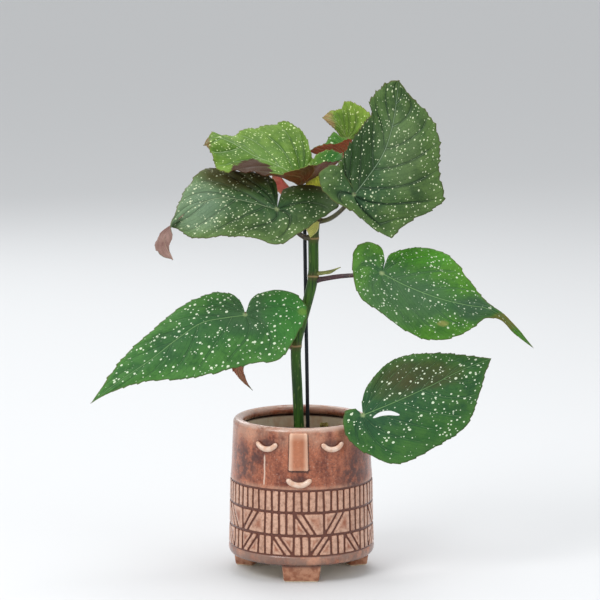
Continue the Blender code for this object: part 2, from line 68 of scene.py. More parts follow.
# Floor and light
# A plain pale floor, a broad soft lamp from the upper left, a fill from the right, one lamp above
# and a weak one behind, in an even pale surround. Places are in metres.
FLOOR_TONE = (0.62, 0.63, 0.64, 1)
SURROUND_TONE, SURROUND_STRENGTH = (0.84, 0.85, 0.86, 1), 0.92
LAMPS = [("key", (-1.6, -1.7, 2.3), 1.5, 46), ("fill", (2, -1.8, 1.2), 1.8, 12),
         ("above", (0.2, 0.3, 2.6), 1.6, 26), ("behind", (-0.8, 2.2, 1.6), 1.4, 14)]
LAMP_AIM = Vector((0, 0, 0.25))


def make_mesh(name, work, *finishes):
    """A mesh with its finishes, from a bmesh that ends with it."""
    data = bpy.data.meshes.new(name)
    work.to_mesh(data)
    work.free()
    for finish in finishes:
        data.materials.append(finish)
    return data


floor_finish = bpy.data.materials.new("floor")
floor_finish.use_nodes = True
floor_shader = floor_finish.node_tree.nodes["Principled BSDF"]
floor_shader.inputs["Base Color"].default_value = FLOOR_TONE
floor_shader.inputs["Roughness"].default_value = 0.75
ground = bmesh.new()
bmesh.ops.create_grid(ground, x_segments=8, y_segments=8, size=12)
floor = put_in("floor", make_mesh("floor", ground, floor_finish))

for lamp_name, lamp_place, lamp_size, lamp_power in LAMPS:
    lamp_data = bpy.data.lights.new(lamp_name, "AREA")
    lamp_data.shape = "DISK"
    lamp_data.size = lamp_size
    lamp_data.energy = lamp_power
    lamp = put_in(lamp_name, lamp_data)
    lamp.location = lamp_place
    lamp.rotation_euler = (LAMP_AIM - Vector(lamp_place)).to_track_quat("-Z", "Y").to_euler()

surround = bpy.data.worlds.new("surround")
surround.use_nodes = True
pale_air = surround.node_tree.nodes["Background"]
pale_air.inputs["Color"].default_value = SURROUND_TONE
pale_air.inputs["Strength"].default_value = SURROUND_STRENGTH
bpy.context.scene.world = surround
bpy.context.scene.view_settings.view_transform = "Standard"


# The pot's wall
# Turned terracotta with a rolled rim and a wide band, cut back for the carved pads. It stands free
# and holds the soil. The glaze pools dark in the cuts and breaks pale over the rim; a highlight is
# painted on the rim's top, and shade under the lip and round the carved face.
MM = 0.001
PLANT_SHIFT = Vector((-11.1, 13.8, 0)) * MM   # from the pot's axis to the middle of the plant's box
WALL_STEPS = 144
BAND_CUTS = {93: 70.2, 71: 70.7, 48.1: 71, 27.4: 71.7}   # height: radius of the wall
POT_FLOOR, SOLE = 23, 17
INNER_RADIUS, LIP_RADIUS = 62, 57.5
RIM_CENTRE, RIM_RADIUS, RIM_TURNS = (62.8, 149), 5.3, range(190, -26, -12)
wall_section = [(0, POT_FLOOR), (40, POT_FLOOR), (57, POT_FLOOR), (INNER_RADIUS, POT_FLOOR + 6),
                (INNER_RADIUS, 85), (INNER_RADIUS, 143.6), (INNER_RADIUS - 0.6, 145), (LIP_RADIUS + 1, 146.2)]
for rim_turn in RIM_TURNS:
    rim_angle = math.radians(rim_turn)
    wall_section.append((RIM_CENTRE[0] + RIM_RADIUS * math.cos(rim_angle),
                         RIM_CENTRE[1] + RIM_RADIUS * math.sin(rim_angle)))
wall_section += [(68.2, 144.5), (68.7, 133), (69.3, 118), (69.9, 105), (70.5, 97.5), (70.8, 95),
                 (70.75, 94.1), (70.2, 93.7)]
wall_section += [(radius - 0.1, height) for height, radius in BAND_CUTS.items()]
wall_section += [(71.7, 27), (72.3, 26.6), (72.7, 25.6), (72.8, 23.6), (72.6, 21.6), (71.8, 19.6),
                 (70.4, 18.1), (68.4, 17.2), (66, SOLE), (30, SOLE), (0, SOLE)]

wall = bmesh.new()
corners = [wall.verts.new(Vector((x, 0, z)) * MM) for x, z in wall_section]
for lower, upper in zip(corners, corners[1:]):
    wall.edges.new((lower, upper))
bmesh.ops.spin(wall, geom=wall.verts[:] + wall.edges[:], cent=(0, 0, 0), axis=(0, 0, 1), angle=math.tau,
               steps=WALL_STEPS, use_merge=True)
bmesh.ops.remove_doubles(wall, verts=wall.verts, dist=0.01 * MM)
bmesh.ops.recalc_face_normals(wall, faces=wall.faces)


def reckon(operation, swapped=False):
    """A method that puts a Math node on a tone, and on another value where the sum needs one."""
    def method(self, *other):
        return self.math(operation, *(other + (self,) if swapped else (self,) + other))
    return method


class Tone:
    """A socket of a material. Arithmetic on it adds the nodes that work the result out."""

    def __init__(self, socket):
        self.socket = socket

    def node(self, kind, settings=None, sockets=None, out=0):
        """Adds a node: its settings come first, then the values or links of its sockets."""
        made = self.socket.id_data.nodes.new(f"ShaderNode{kind}")
        for name, value in (settings or {}).items():
            setattr(made, name, value)
        for name, value in (sockets or {}).items():
            feed(made.inputs[name], value)
        return Tone(made.outputs[out])

    def math(self, operation, *values):
        """A Math node on the given values, which are usually this one and others."""
        return self.node("Math", {"operation": operation}, dict(enumerate(values)))

    __add__ = __radd__ = reckon("ADD")
    __mul__ = __rmul__ = reckon("MULTIPLY")
    __sub__, __rsub__ = reckon("SUBTRACT"), reckon("SUBTRACT", swapped=True)
    __truediv__, __pow__, __abs__ = reckon("DIVIDE"), reckon("POWER"), reckon("ABSOLUTE")
    least, most, fraction = reckon("MINIMUM"), reckon("MAXIMUM"), reckon("FRACT")

    def fade(self, low, high):
        """Rises smoothly from 0 at low to 1 at high, or falls where low is the larger."""
        if low > high:
            return 1 - self.fade(high, low)
        return self.node("MapRange", {"interpolation_type": "SMOOTHSTEP"}, {0: self, 1: low, 2: high})

    def mix(self, at_zero, at_one):
        """A colour between two, by this value."""
        return self.node("Mix", {"data_type": "RGBA"}, {0: self, 6: at_zero, 7: at_one}, out=2)

    def washed(self, *coats):
        """This colour with others over it, each given as its share and its colour."""
        tone = self
        for share, colour in coats:
            tone = share.mix(tone, colour)
        return tone

    def axis(self, number):
        return self.node("SeparateXYZ", None, {0: self}, out=number)

    def stretched(self, x, y, z):
        return self.node("VectorMath", {"operation": "MULTIPLY"}, {0: self, 1: (x, y, z)})

    def grain(self, scale, detail=2, roughness=0.5):
        """Soft noise over this place, from about 0.3 to 0.7."""
        return self.node("TexNoise", None, {"Vector": self, "Scale": scale, "Detail": detail,
                                            "Roughness": roughness})

    def distance(self, point):
        return self.node("VectorMath", {"operation": "DISTANCE"}, {0: self, 1: point}, out=1)

    def size(self):
        return self.node("VectorMath", {"operation": "LENGTH"}, {0: self}, out=1)

    def bump(self, depth, strength):
        """A normal that follows this height, which is given in units of depth."""
        return self.node("Bump", None, {"Height": self, "Distance": depth * MM, "Strength": strength})


def paint(colour):
    """A screen's colour, 0 to 255, as the light that a shader reads."""
    return tuple(((c / 255 + 0.055) / 1.055) ** 2.4 if c > 10 else c / 3295 for c in colour)


def feed(socket, value):
    """Links or sets a socket."""
    if isinstance(value, Tone):
        socket.id_data.links.new(value.socket, socket)
    elif socket.type == "RGBA":
        socket.default_value = (*paint(value), 1)
    else:
        socket.default_value = value


def new_finish(name):
    """A material, the shader that it ends in, and the place on the plant from the pot's axis."""
    made = bpy.data.materials.new(name)
    made.use_nodes = True
    shader = made.node_tree.nodes["Principled BSDF"]
    where = Tone(shader.outputs[0]).node("TexCoord", out=3)
    where = where.node("Mapping", None, {"Vector": where, "Location": -PLANT_SHIFT})
    return made, shader, where


def lay_on(shader, colour, roughness, normal, specular=0.5):
    """Gives a shader the skin that changes over the piece, and the strength of its reflections."""
    feed(shader.inputs["Base Color"], colour)
    feed(shader.inputs["Roughness"], roughness)
    feed(shader.inputs["Normal"], normal)
    shader.inputs["Specular IOR Level"].default_value = specular


def finish_piece(name, node, slot, work, *finishes):
    """Moves a mesh from the pot's axis to its place, and makes it a piece that stands for a node."""
    bmesh.ops.translate(work, verts=work.verts, vec=PLANT_SHIFT)
    piece = put_in(name, make_mesh(name, work, *finishes))
    piece.data.shade_smooth()
    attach(piece, "root")
    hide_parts(node)
    return piece


GLAZE_DEEP = (58, 26, 20)
GLAZE_RED = (98, 40, 22)
GLAZE_LIGHT = (184, 110, 78)
GLAZE_PLUM = (72, 40, 36)
GLAZE_THIN = (224, 200, 182)
GLAZE_TAN = (206, 164, 138)
GLAZE_GROOVE = (92, 46, 30)
BISCUIT = (252, 236, 206)


def glaze_ground(where):
    """The mottled red-brown of the glaze where it lies flat."""
    clouds = where.grain(26, 3).fade(0.34, 0.66)
    runs = where.stretched(1, 1, 0.28).grain(95, 3, 0.6).fade(0.38, 0.62)
    mottle = where.grain(330, 2, 0.6).fade(0.36, 0.64)
    speck = where.grain(700, 1).fade(0.58, 0.68)
    pinhole = where.grain(520, 1).fade(0.64, 0.72)
    ground = (clouds * 0.3 + runs * 0.4 + mottle * 0.3).mix(GLAZE_RED, GLAZE_LIGHT)
    return ground.washed((speck * 0.5, GLAZE_DEEP), (pinhole * 0.18, GLAZE_THIN))


def glaze_skin(shader, where, colour):
    """The wet gloss of the glaze, over a slightly uneven skin."""
    skin = where.grain(160) + where.grain(700, 1) * 0.25
    lay_on(shader, colour, where.grain(60) * 0.22 + 0.16, skin.bump(0.5, 0.55), 0.4)
    shader.inputs["Coat Weight"].default_value = 0.25
    shader.inputs["Coat Roughness"].default_value = 0.07


FACE_TURN = -92.4       # direction that the carved face looks in, in degrees
FACE_RADIUS = 69.5      # of the wall under the face
NOSE_FOOT = 112         # height of the nose's lower end
LID_HALF, LID_TALL = 9.5, 4.6   # half the size of the dark pooled glaze and painted shade round a lid
PLUM_PATCHES = ((-55, 114, 32, 0.95), (-38, 128, 16, 0.5), (52, 110, 28, 0.85), (40, 100, 22, 0.5),
                (150, 118, 34, 0.7), (95, 128, 20, 0.5), (205, 104, 30, 0.6))   # turn, height, size, share
wall_glaze, shader, where = new_finish("wall_glaze")
height = where.axis(2) / MM
radius = where.stretched(1, 1, 0).size() / MM
thinner = height.fade(128, 147).most(height.fade(99, 94.5)) * where.grain(50, 3).fade(0.30, 0.62)
patches = 0
for patch_turn, patch_height, patch_size, patch_share in PLUM_PATCHES:
    patch_angle = math.radians(patch_turn - 90)
    centre = Vector((70 * math.cos(patch_angle), 70 * math.sin(patch_angle), patch_height)) * MM
    patches = where.distance(centre).fade(patch_size * MM, 0.2 * patch_size * MM) * patch_share + patches
ragged = where.grain(110, 4, 0.65).fade(0.38, 0.60)
colour = glaze_ground(where).washed(
    (thinner * 0.45, GLAZE_TAN), ((patches * ragged).least(0.85), GLAZE_PLUM))

# the band is dark between the pads, over a rounded foot ring
band = height.fade(93.9, 93.5) * height.fade(26.8, 27.2)
base_ring = height.fade(27.2, 26.8) * where.grain(90, 3).fade(0.3, 0.6)
colour = colour.washed((band, GLAZE_GROOVE), (base_ring * 0.8, (120, 98, 88)),
                       (height.fade(19.6, 17.6) * 0.7, GLAZE_DEEP))

# the rim is pale where it turns over, partly thin glaze and partly a painted highlight on its top, with a
# painted shadow line under the lip and biscuit inside
rim_thin_glaze_and_highlight = height.fade(149.5, 153) * where.grain(120, 3).fade(0.22, 0.50)
inside = radius.fade(64.5, 62.8) * height.fade(146.6, 145.8)
stains_light_and_shade = where.stretched(1, 1, 0.6).grain(60, 4, 0.6).fade(0.48, 0.66)
inner_tone = (stains_light_and_shade * 0.5).mix(BISCUIT, (226, 180, 132))
# painted shadow in a line under the overhanging lip
inner_tone = height.fade(141.8, 144).mix(inner_tone, GLAZE_DEEP)
colour = colour.washed((rim_thin_glaze_and_highlight * 0.65, (196, 174, 160)), (inside, inner_tone))

# round the carved face the glaze pools in a dark line, with painted shade in the crease beside the nose,
# under its lower end and round the eyelids, and one pale drip runs beside it
turn = where.math("ARCTAN2", where.axis(1), where.axis(0))
arc = (turn - math.radians(FACE_TURN)) * FACE_RADIUS
front = where.axis(1).fade(-0.03, -0.04) * radius.fade(66, 68)
nose_half = 9.9 - (height - NOSE_FOOT) * 0.027
beside = abs(abs(arc) - nose_half).fade(1.5, 0.3) * height.fade(111.5, 113)
under = abs(height - NOSE_FOOT).fade(1.3, 0.3) * abs(arc).fade(11, 9.5)
outline = beside.most(under) * height.fade(150, 147)
for lid_turn, lid_height in ((-32.7, 137.2), (34.3, 137.2), (0.5, 102.6)):
    reach = ((arc - lid_turn) / LID_HALF) ** 2 + ((height - lid_height) / LID_TALL) ** 2
    outline = outline.most(reach.fade(2.2, 0.2) * 0.75)
drip = abs(arc + 34 + where.grain(60) * 2).fade(1.2, 0.4) * height.fade(96, 99) * height.fade(128, 124)
colour = colour.washed((outline * front * (where.grain(200) + 0.35), GLAZE_DEEP),
                       (drip * front * 0.7, GLAZE_THIN))
glaze_skin(shader, where, colour)

pot_wall = finish_piece("pot_wall", "pot", "glazed_terracotta", wall, wall_glaze)
pot_wall.data.set_sharp_from_angle(angle=math.radians(60))


# The carved pads
# Three bands of pads left standing between hand-cut grooves: upright bars, and slanting strips
# between triangles. The glaze is tan over them and pools orange-brown on the wider ones.
STAVES = 60
PAD_RADIUS = 71        # of the band, where the width of its staves is measured
PAD_FOOT = -0.3        # where a pad begins, from the wall's radius
BAND_EDGE = 0.2        # between a band's edge and the corners of its pads
GROOVE = 0.64          # half the width of a groove
CARVER_SIDE, CARVER_LIFT = 0.45, 0.3   # how far a corner strays along the band, and up or down
CORNER_RADIUS = 1.5
BAND_LOW = {93: 71, 71: 48.1, 48.1: 27.4}
CARVED_BANDS = {93: ([("bars", STAVES)], 0),
                71: ([("fall", 4), ("rise", 4), ("bars", 4)], -1),
                48.1: ([("fall", 3), ("bars", 2), ("rise", 3), ("bars", 2)], -4)}
PAD_STEPS = ((0.10, 0.50, 0), (0.20, 0.36, 0.35), (0.35, 0.24, 0.7), (0.60, 0.16, 1))   # inset, rise, thin
GLAZE_POOL = (140, 70, 34)


def pad_outlines(motifs, start):
    """The pads of a band: whether each is a triangle, and its corners as (stave, at the top)."""
    place = start
    while place < start + STAVES:
        for kind, width in motifs:
            if kind == "bars":
                for k in range(place, place + width):
                    yield False, ((k, False), (k + 1, False), (k + 1, True), (k, True))
            else:
                near, far = (True, False) if kind == "fall" else (False, True)
                first = (place, near), (place, far), (place + 2, far)
                strip = (place, near), (place + 2, far), (place + 3, far), (place + 1, near)
                last = [(place + 1, near), (place + 3, far), (place + width, far), (place + width, near)]
                for outline in (first, strip, last if width > 3 else [last[0], last[1], last[3]]):
                    yield outline is not strip, outline if kind == "fall" else outline[::-1]
            place += width


slab = bmesh.new()
pooled = slab.faces.layers.int.new("pooled")
stave_width = math.tau * PAD_RADIUS / STAVES
carver = random.Random(11)
for high, (motifs, start) in CARVED_BANDS.items():
    edge_height = {True: high - BAND_EDGE, False: BAND_LOW[high] + BAND_EDGE}
    stray = {(k, top): (carver.uniform(-1, 1) * CARVER_SIDE, carver.uniform(-1, 1) * CARVER_LIFT)
             for k in range(STAVES) for top in (True, False)}
    for is_triangle, outline in pad_outlines(motifs, start):
        corners = []
        for k, top in outline:
            side, lift = stray[k % STAVES, top]
            corners.append(slab.verts.new((k * stave_width + side, edge_height[top] + lift, PAD_FOOT)))
        slab.faces.new(corners)[pooled] = is_triangle
pads = slab.faces[:]
slab.normal_update()
bmesh.ops.reverse_faces(slab, faces=[pad for pad in pads if pad.normal.z < 0])
slab.normal_update()
ring = bmesh.ops.inset_individual(slab, faces=pads, thickness=GROOVE, use_even_offset=True)["faces"]
bmesh.ops.delete(slab, geom=ring, context="FACES")
for corner in slab.verts[:]:
    offset = CORNER_RADIUS / math.tan(corner.link_loops[0].calc_angle() / 2)
    bmesh.ops.bevel(slab, geom=[corner], offset=offset, offset_type="OFFSET", segments=4, profile=0.5,
                    affect="VERTICES", clamp_overlap=True, material=-1)
thin_layer = slab.verts.layers.float.new("thin")
pool_layer = slab.verts.layers.float.new("pool")
pads = slab.faces[:]
slab.normal_update()
wide = [pad for pad in pads if pad[pooled]]
backs = bmesh.ops.duplicate(slab, geom=pads)["geom"]
bmesh.ops.reverse_faces(slab, faces=[g for g in backs if isinstance(g, bmesh.types.BMFace)])
for inset, rise, thin in PAD_STEPS:
    bmesh.ops.inset_individual(slab, faces=pads, thickness=inset, depth=rise, use_even_offset=True)
    for v in {v for pad in pads for v in pad.verts}:
        v[thin_layer] = thin
for pad in set(pads) - set(wide):
    for v in pad.verts:
        v[pool_layer] = 0.15 + 0.1 * math.sin(pad.calc_center_median().x * 0.7)
for middle in bmesh.ops.poke(slab, faces=wide, center_mode="MEAN_WEIGHTED")["verts"]:
    middle[pool_layer] = 1
    middle[thin_layer] = 1
bmesh.ops.remove_doubles(slab, verts=slab.verts, dist=0.001)
for half_stave in range(-10, 2 * STAVES + 10):
    everything = slab.verts[:] + slab.edges[:] + slab.faces[:]
    bmesh.ops.bisect_plane(slab, geom=everything, dist=0.001, plane_no=(1, 0, 0),
                           plane_co=(half_stave * stave_width / 2, 0, 0))
for v in slab.verts:
    along, height, rise = v.co
    radius = np.interp(height, list(BAND_CUTS)[::-1], list(BAND_CUTS.values())[::-1]) + rise
    angle = along / PAD_RADIUS - math.pi / 2
    v.co = Vector((radius * math.cos(angle), radius * math.sin(angle), height)) * MM

pad_glaze, shader, where = new_finish("pad_glaze")
thin = where.node("Attribute", {"attribute_name": "thin"}, out=2)
pool = where.node("Attribute", {"attribute_name": "pool"}, out=2)
ground = where.grain(240, 3, 0.6).fade(0.30, 0.60).mix((146, 96, 70), (200, 152, 126))
runs = where.stretched(1, 1, 0.4).grain(60, 3).fade(0.40, 0.62)
blots = where.grain(75).fade(0.34, 0.62) * 0.5 + 0.45
speck = where.grain(800, 1).fade(0.60, 0.70)
ground = ground.washed((pool.fade(0.05, 0.8) * blots, GLAZE_POOL), (runs * 0.2, (148, 96, 72)),
                       (speck * 0.4, GLAZE_DEEP), (thin.fade(0.7, 1) * (1 - pool) * 0.22, GLAZE_THIN))
glaze_skin(shader, where, thin.fade(0, 0.9).mix(GLAZE_GROOVE, ground))
finish_piece("carved_pads", "pot", "glazed_terracotta", slab, pad_glaze)


# The carved face
# Two closed eyelids, a long straight nose and a smile: rolls and a block of clay, pressed on the
# wall before it is glazed. The glaze runs off them and leaves them pale; the nose has a painted
# highlight at its ends and painted shade along its lower end.
LID_RADIUS = 69.8   # of the circle that the middle of each roll lies on
LIDS = ((-32.7, 139.7, 11.4, 6.7, 2.9), (34.3, 139.7, 11.4, 6.7, 2.9), (0.5, 104.9, 12, 6.3, 3.1))


def smooth_run(points, count):
    """Points at even distances along a smooth curve through the given ones."""
    given = np.array(points, dtype=float)
    gap = np.sqrt(np.linalg.norm(np.diff(given, axis=0), axis=1))
    rate = np.diff(given, axis=0) / gap[:, None]
    before, after = gap[:-1, None], gap[1:, None]
    middle = (rate[:-1] * after + rate[1:] * before) / (before + after)
    slope = np.vstack((rate[:1], middle, rate[-1:]))
    fine = [given[:1]]
    for i, h in enumerate(gap):
        t = np.linspace(0, 1, 17)[1:, None]
        fine.append((2 * t**3 - 3 * t**2 + 1) * given[i] + (3 * t**2 - 2 * t**3) * given[i + 1]
                    + (t**3 - 2 * t**2 + t) * h * slope[i] + (t**3 - t**2) * h * slope[i + 1])
    fine = np.vstack(fine)
    walked = np.concatenate(([0], np.cumsum(np.linalg.norm(np.diff(fine, axis=0), axis=1))))
    wanted = np.linspace(0, walked[-1], count)
    return np.column_stack([np.interp(wanted, walked, fine[:, k]) for k in range(given.shape[1])])


def rod(route, radii, sides):
    """A round rod along a route, made from a cylinder that is cut across and bent to it."""
    route = np.array(route, dtype=float)
    work = bmesh.new()
    bmesh.ops.create_cone(work, cap_ends=True, segments=sides, radius1=1, radius2=1, depth=1)
    long_edges = [e for e in work.edges if abs(e.verts[0].co.z - e.verts[1].co.z) > 0.5]
    bmesh.ops.subdivide_edges(work, edges=long_edges, cuts=len(route) - 2, use_grid_fill=True)
    across, frames = Vector((1, 0, 0)), []
    for way in np.gradient(route, axis=0):
        way = Vector(way).normalized()
        across = across - way * across.dot(way)
        if across.length < 0.2:
            across = Vector((0, 1, 0)) - way * way.y
        across.normalize()
        frames.append((across.copy(), way.cross(across)))
    for v in work.verts:
        step = round((v.co.z + 0.5) * (len(route) - 1))
        side, up = frames[step]
        v.co = (Vector(route[step]) + (side * v.co.x + up * v.co.y) * radii[step]) * MM
    return work


def add_to(work, part):
    """Adds a part's mesh to another mesh."""
    data = make_mesh("part", part)
    work.from_mesh(data)
    bpy.data.meshes.remove(data)


def lid(turn, ends_z, half_width, drop, thick):
    """A roll that bows down between its ends, like a closed eye or a smile."""
    route, radii = [], []
    for t in np.linspace(-1, 1, 33):
        angle = math.radians(FACE_TURN) + (turn + half_width * t) / LID_RADIUS
        z = ends_z - drop * (1 - abs(t) ** 2.4)
        route.append((LID_RADIUS * math.cos(angle), LID_RADIUS * math.sin(angle), z))
        round_end = math.sqrt(max(0.02, 1 - max(0, abs(t) - 0.8) ** 2 / 0.04))
        radii.append(thick * (1 - 0.12 * t * t) * round_end)
    return rod(route, radii, 18)


thin_glaze, shader, where = new_finish("thin_glaze")
thin = where.grain(150, 3).fade(0.38, 0.60)
stands_out = where.stretched(1, 1, 0).size() / MM
tone = (thin * 0.7 + 0.1).mix(GLAZE_TAN, GLAZE_THIN)
glaze_skin(shader, where, stands_out.fade(71.2, 70).mix(tone, GLAZE_RED))

rolls = bmesh.new()
for lid_sizes in LIDS:
    add_to(rolls, lid(*lid_sizes))
finish_piece("carved_rolls", "pot", "glazed_terracotta", rolls, thin_glaze)


def tapered_block(size_top, size_bottom, height, edge, place, turn):
    """An upright block, wider at one end, with rounded edges, turned to face outwards."""
    work = bmesh.new()
    bmesh.ops.create_cube(work, size=1)
    for v in work.verts:
        width, depth = size_top if v.co.z > 0 else size_bottom
        v.co = Vector((v.co.x * width, v.co.y * depth, (v.co.z + 0.5) * height)) * MM
    bmesh.ops.bevel(work, geom=work.edges[:], offset=edge * MM, offset_type="OFFSET", segments=4,
                    profile=0.5, affect="EDGES", material=-1)
    bmesh.ops.translate(work, verts=work.verts, vec=Vector(place) * MM)
    bmesh.ops.rotate(work, verts=work.verts, cent=(0, 0, 0),
                     matrix=Matrix.Rotation(math.radians(turn + 90), 3, "Z"))
    return work


nose_glaze, shader, where = new_finish("nose_glaze")
height = where.axis(2) / MM
nose_edge = abs(where.axis(0) / MM + 2.9).fade(3.8, 8.6)
streaks = where.stretched(1, 1, 0.4).grain(90).fade(0.30, 0.60)
tone = (streaks * 0.4 + 0.2).mix(glaze_ground(where), (188, 120, 84))
# pale where the glaze thins on the sides, with a painted highlight at both ends and painted shade along the
# lower end
pale_share = nose_edge * 0.7 + height.fade(118, 113.5) * 0.2 + height.fade(141, 149) * 0.5
tone = tone.washed((pale_share, (216, 176, 150)), ((1 - nose_edge) * height.fade(113.6, 112.9), GLAZE_DEEP))
glaze_skin(shader, where, tone)
nose_block = tapered_block((17.5, 6.4), (19.5, 8), 37.5, 2, (0, -68.2, NOSE_FOOT + 0.7), FACE_TURN)
finish_piece("carved_nose", "pot", "glazed_terracotta", nose_block, nose_glaze)


# The feet
# Three tapered blocks of the same clay under the pot, one at the front and two behind. They are
# glazed thin and rubbed bare at the sole.
FOOT_TURNS = (-90, 22, 158)
foot_glaze, shader, where = new_finish("foot_glaze")
height = where.axis(2) / MM
pale_share = where.grain(140, 3, 0.6).fade(0.35, 0.65)
tone = (pale_share * 0.8).mix((138, 84, 58), (192, 140, 110))
tone = tone.washed((height.fade(2, 0.4), BISCUIT), (height.fade(14, 17.5), (96, 56, 44)))
glaze_skin(shader, where, tone)
feet = bmesh.new()
for foot_turn in FOOT_TURNS:
    add_to(feet, tapered_block((39.5, 23), (34.5, 19), 20, 2.5, (0, -55.5, 0), foot_turn))
finish_piece("pot_feet", "pot", "glazed_terracotta", feet, foot_glaze)


# The soil
# Dark crumbly potting soil, level a finger's width under the rim.
SOIL_TOP, SOIL_DEPTH, SOIL_RADIUS = 133, 20, 61.4
soil_work = bmesh.new()
bmesh.ops.create_grid(soil_work, x_segments=90, y_segments=90, size=1)
for v in soil_work.verts:
    x, y = v.co.x, v.co.y
    flat = Vector((x * math.sqrt(1 - y * y / 2), y * math.sqrt(1 - x * x / 2), 0)) * SOIL_RADIUS
    crumb = noise.fractal(flat * 0.12, 0.7, 2, 4) * 1.3 + noise.noise(flat * 0.55) * 0.9
    edge = max(0, flat.length / SOIL_RADIUS - 0.9) * 8
    v.co = (flat + Vector((0, 0, SOIL_TOP - 1.6 + crumb * (1 - min(1, edge)) - edge * 0.6))) * MM
rim_edges = [e for e in soil_work.edges if e.is_boundary]
skirt = bmesh.ops.extrude_edge_only(soil_work, edges=rim_edges)["geom"]
for v in skirt:
    if isinstance(v, bmesh.types.BMVert):
        v.co.z = (SOIL_TOP - SOIL_DEPTH) * MM
bmesh.ops.contextual_create(soil_work, geom=[g for g in skirt if isinstance(g, bmesh.types.BMEdge)])
bmesh.ops.recalc_face_normals(soil_work, faces=soil_work.faces)
soil_finish, shader, where = new_finish("potting_soil")
crumbs = where.grain(420, 4, 0.7)
fibre = where.stretched(1, 3, 1).grain(700, 1).fade(0.66, 0.72)
tone = crumbs.fade(0.35, 0.7).mix((24, 17, 13), (66, 50, 38)).washed((fibre * 0.6, (120, 96, 70)))
lay_on(shader, tone, crumbs * 0.2 + 0.8, crumbs.bump(1.5, 0.9))
finish_piece("soil_bed", "soil", "potting_soil", soil_work, soil_finish)


# The stake
# A thin rod with a dark blue-green coating, pushed into the soil behind the cane.
STAKE_RADIUS = 1.85
stake_route = smooth_run([(7, 11, 42), (6.4, 11, 140), (4.8, 11, 240), (3.2, 11, 346)], 80)
stake_radii = [STAKE_RADIUS] * 78 + [STAKE_RADIUS * 0.85, STAKE_RADIUS * 0.4]
stake_finish, shader, where = new_finish("stake_coating")
streak = where.stretched(1, 1, 0.05).grain(900).fade(0.35, 0.7)
tone = streak.mix((8, 16, 22), (24, 38, 46))
lay_on(shader, tone, streak * 0.2 + 0.35, where.grain(800).bump(0.2, 0.5), 0.35)
finish_piece("stake_rod", "stake", "stake_coating", rod(stake_route, stake_radii, 24), stake_finish)


# The cane
# The plant's one upright stem, jointed like bamboo: smooth green skin with a tan scar round each
# joint. It grows from the soil and leans right above its lowest leaf.
CANE_RADIUS = 5.1
CANE_ROUTE = [(-2.2, 0, 76), (-2.1, 0, 133), (-4, 0, 180), (-5.5, 0, 221), (-4.2, 0, 231), (9.9, 0, 285),
              (11.7, 0, 296), (11.9, 0, 333), (13.2, 2, 350), (13, 4, 366), (12, 5, 377)]
CANE_JOINTS = (225.5, 295.3, 333.3, 351, 366)
THIN_FROM, THIN_OVER = 345, 32   # the height where the cane starts to thin, and over how much it does


def cane_radius(height):
    """The cane thins towards its top and swells at every joint."""
    swell = sum(math.exp(-((height - z) / 3) ** 2) for z in CANE_JOINTS)
    scar = sum(math.exp(-((height - z) / 0.7) ** 2) for z in CANE_JOINTS)
    thinned = 1 - 0.25 * max(0, height - THIN_FROM) / THIN_OVER
    return CANE_RADIUS * thinned * (1 + 0.1 * swell + 0.03 * scar)


cane_route = smooth_run(CANE_ROUTE, 420)
cane_work = rod(cane_route, [cane_radius(p[2]) for p in cane_route], 28)
cane_finish, shader, where = new_finish("cane_skin")
height = where.axis(2) / MM
scar, shadow = 0, 0
for joint_height in CANE_JOINTS:
    off = abs(height + where.grain(120) * 1.2 - 0.6 - joint_height)
    scar = off.fade(1.2, 0.5) + scar
    shadow = off.fade(7, 1) + shadow
ribs = where.stretched(1, 1, 0.06).grain(420).fade(0.35, 0.65)
flecks = where.stretched(1, 1, 0.35).grain(380, 1).fade(0.64, 0.70)
tone = ribs.mix((26, 60, 10), (58, 98, 22)).washed(
    (height.fade(300, 180) * 0.35, (28, 74, 18)), (flecks * 0.3, (140, 158, 92)),
    (shadow * 0.45, (88, 72, 40)), (scar * 0.7, (158, 132, 90)))
lay_on(shader, tone, ribs * 0.15 + 0.40, (ribs + flecks * 0.6).bump(0.4, 0.5), 0.3)
finish_piece("cane_stem", "cane", "cane_skin", cane_work, cane_finish)


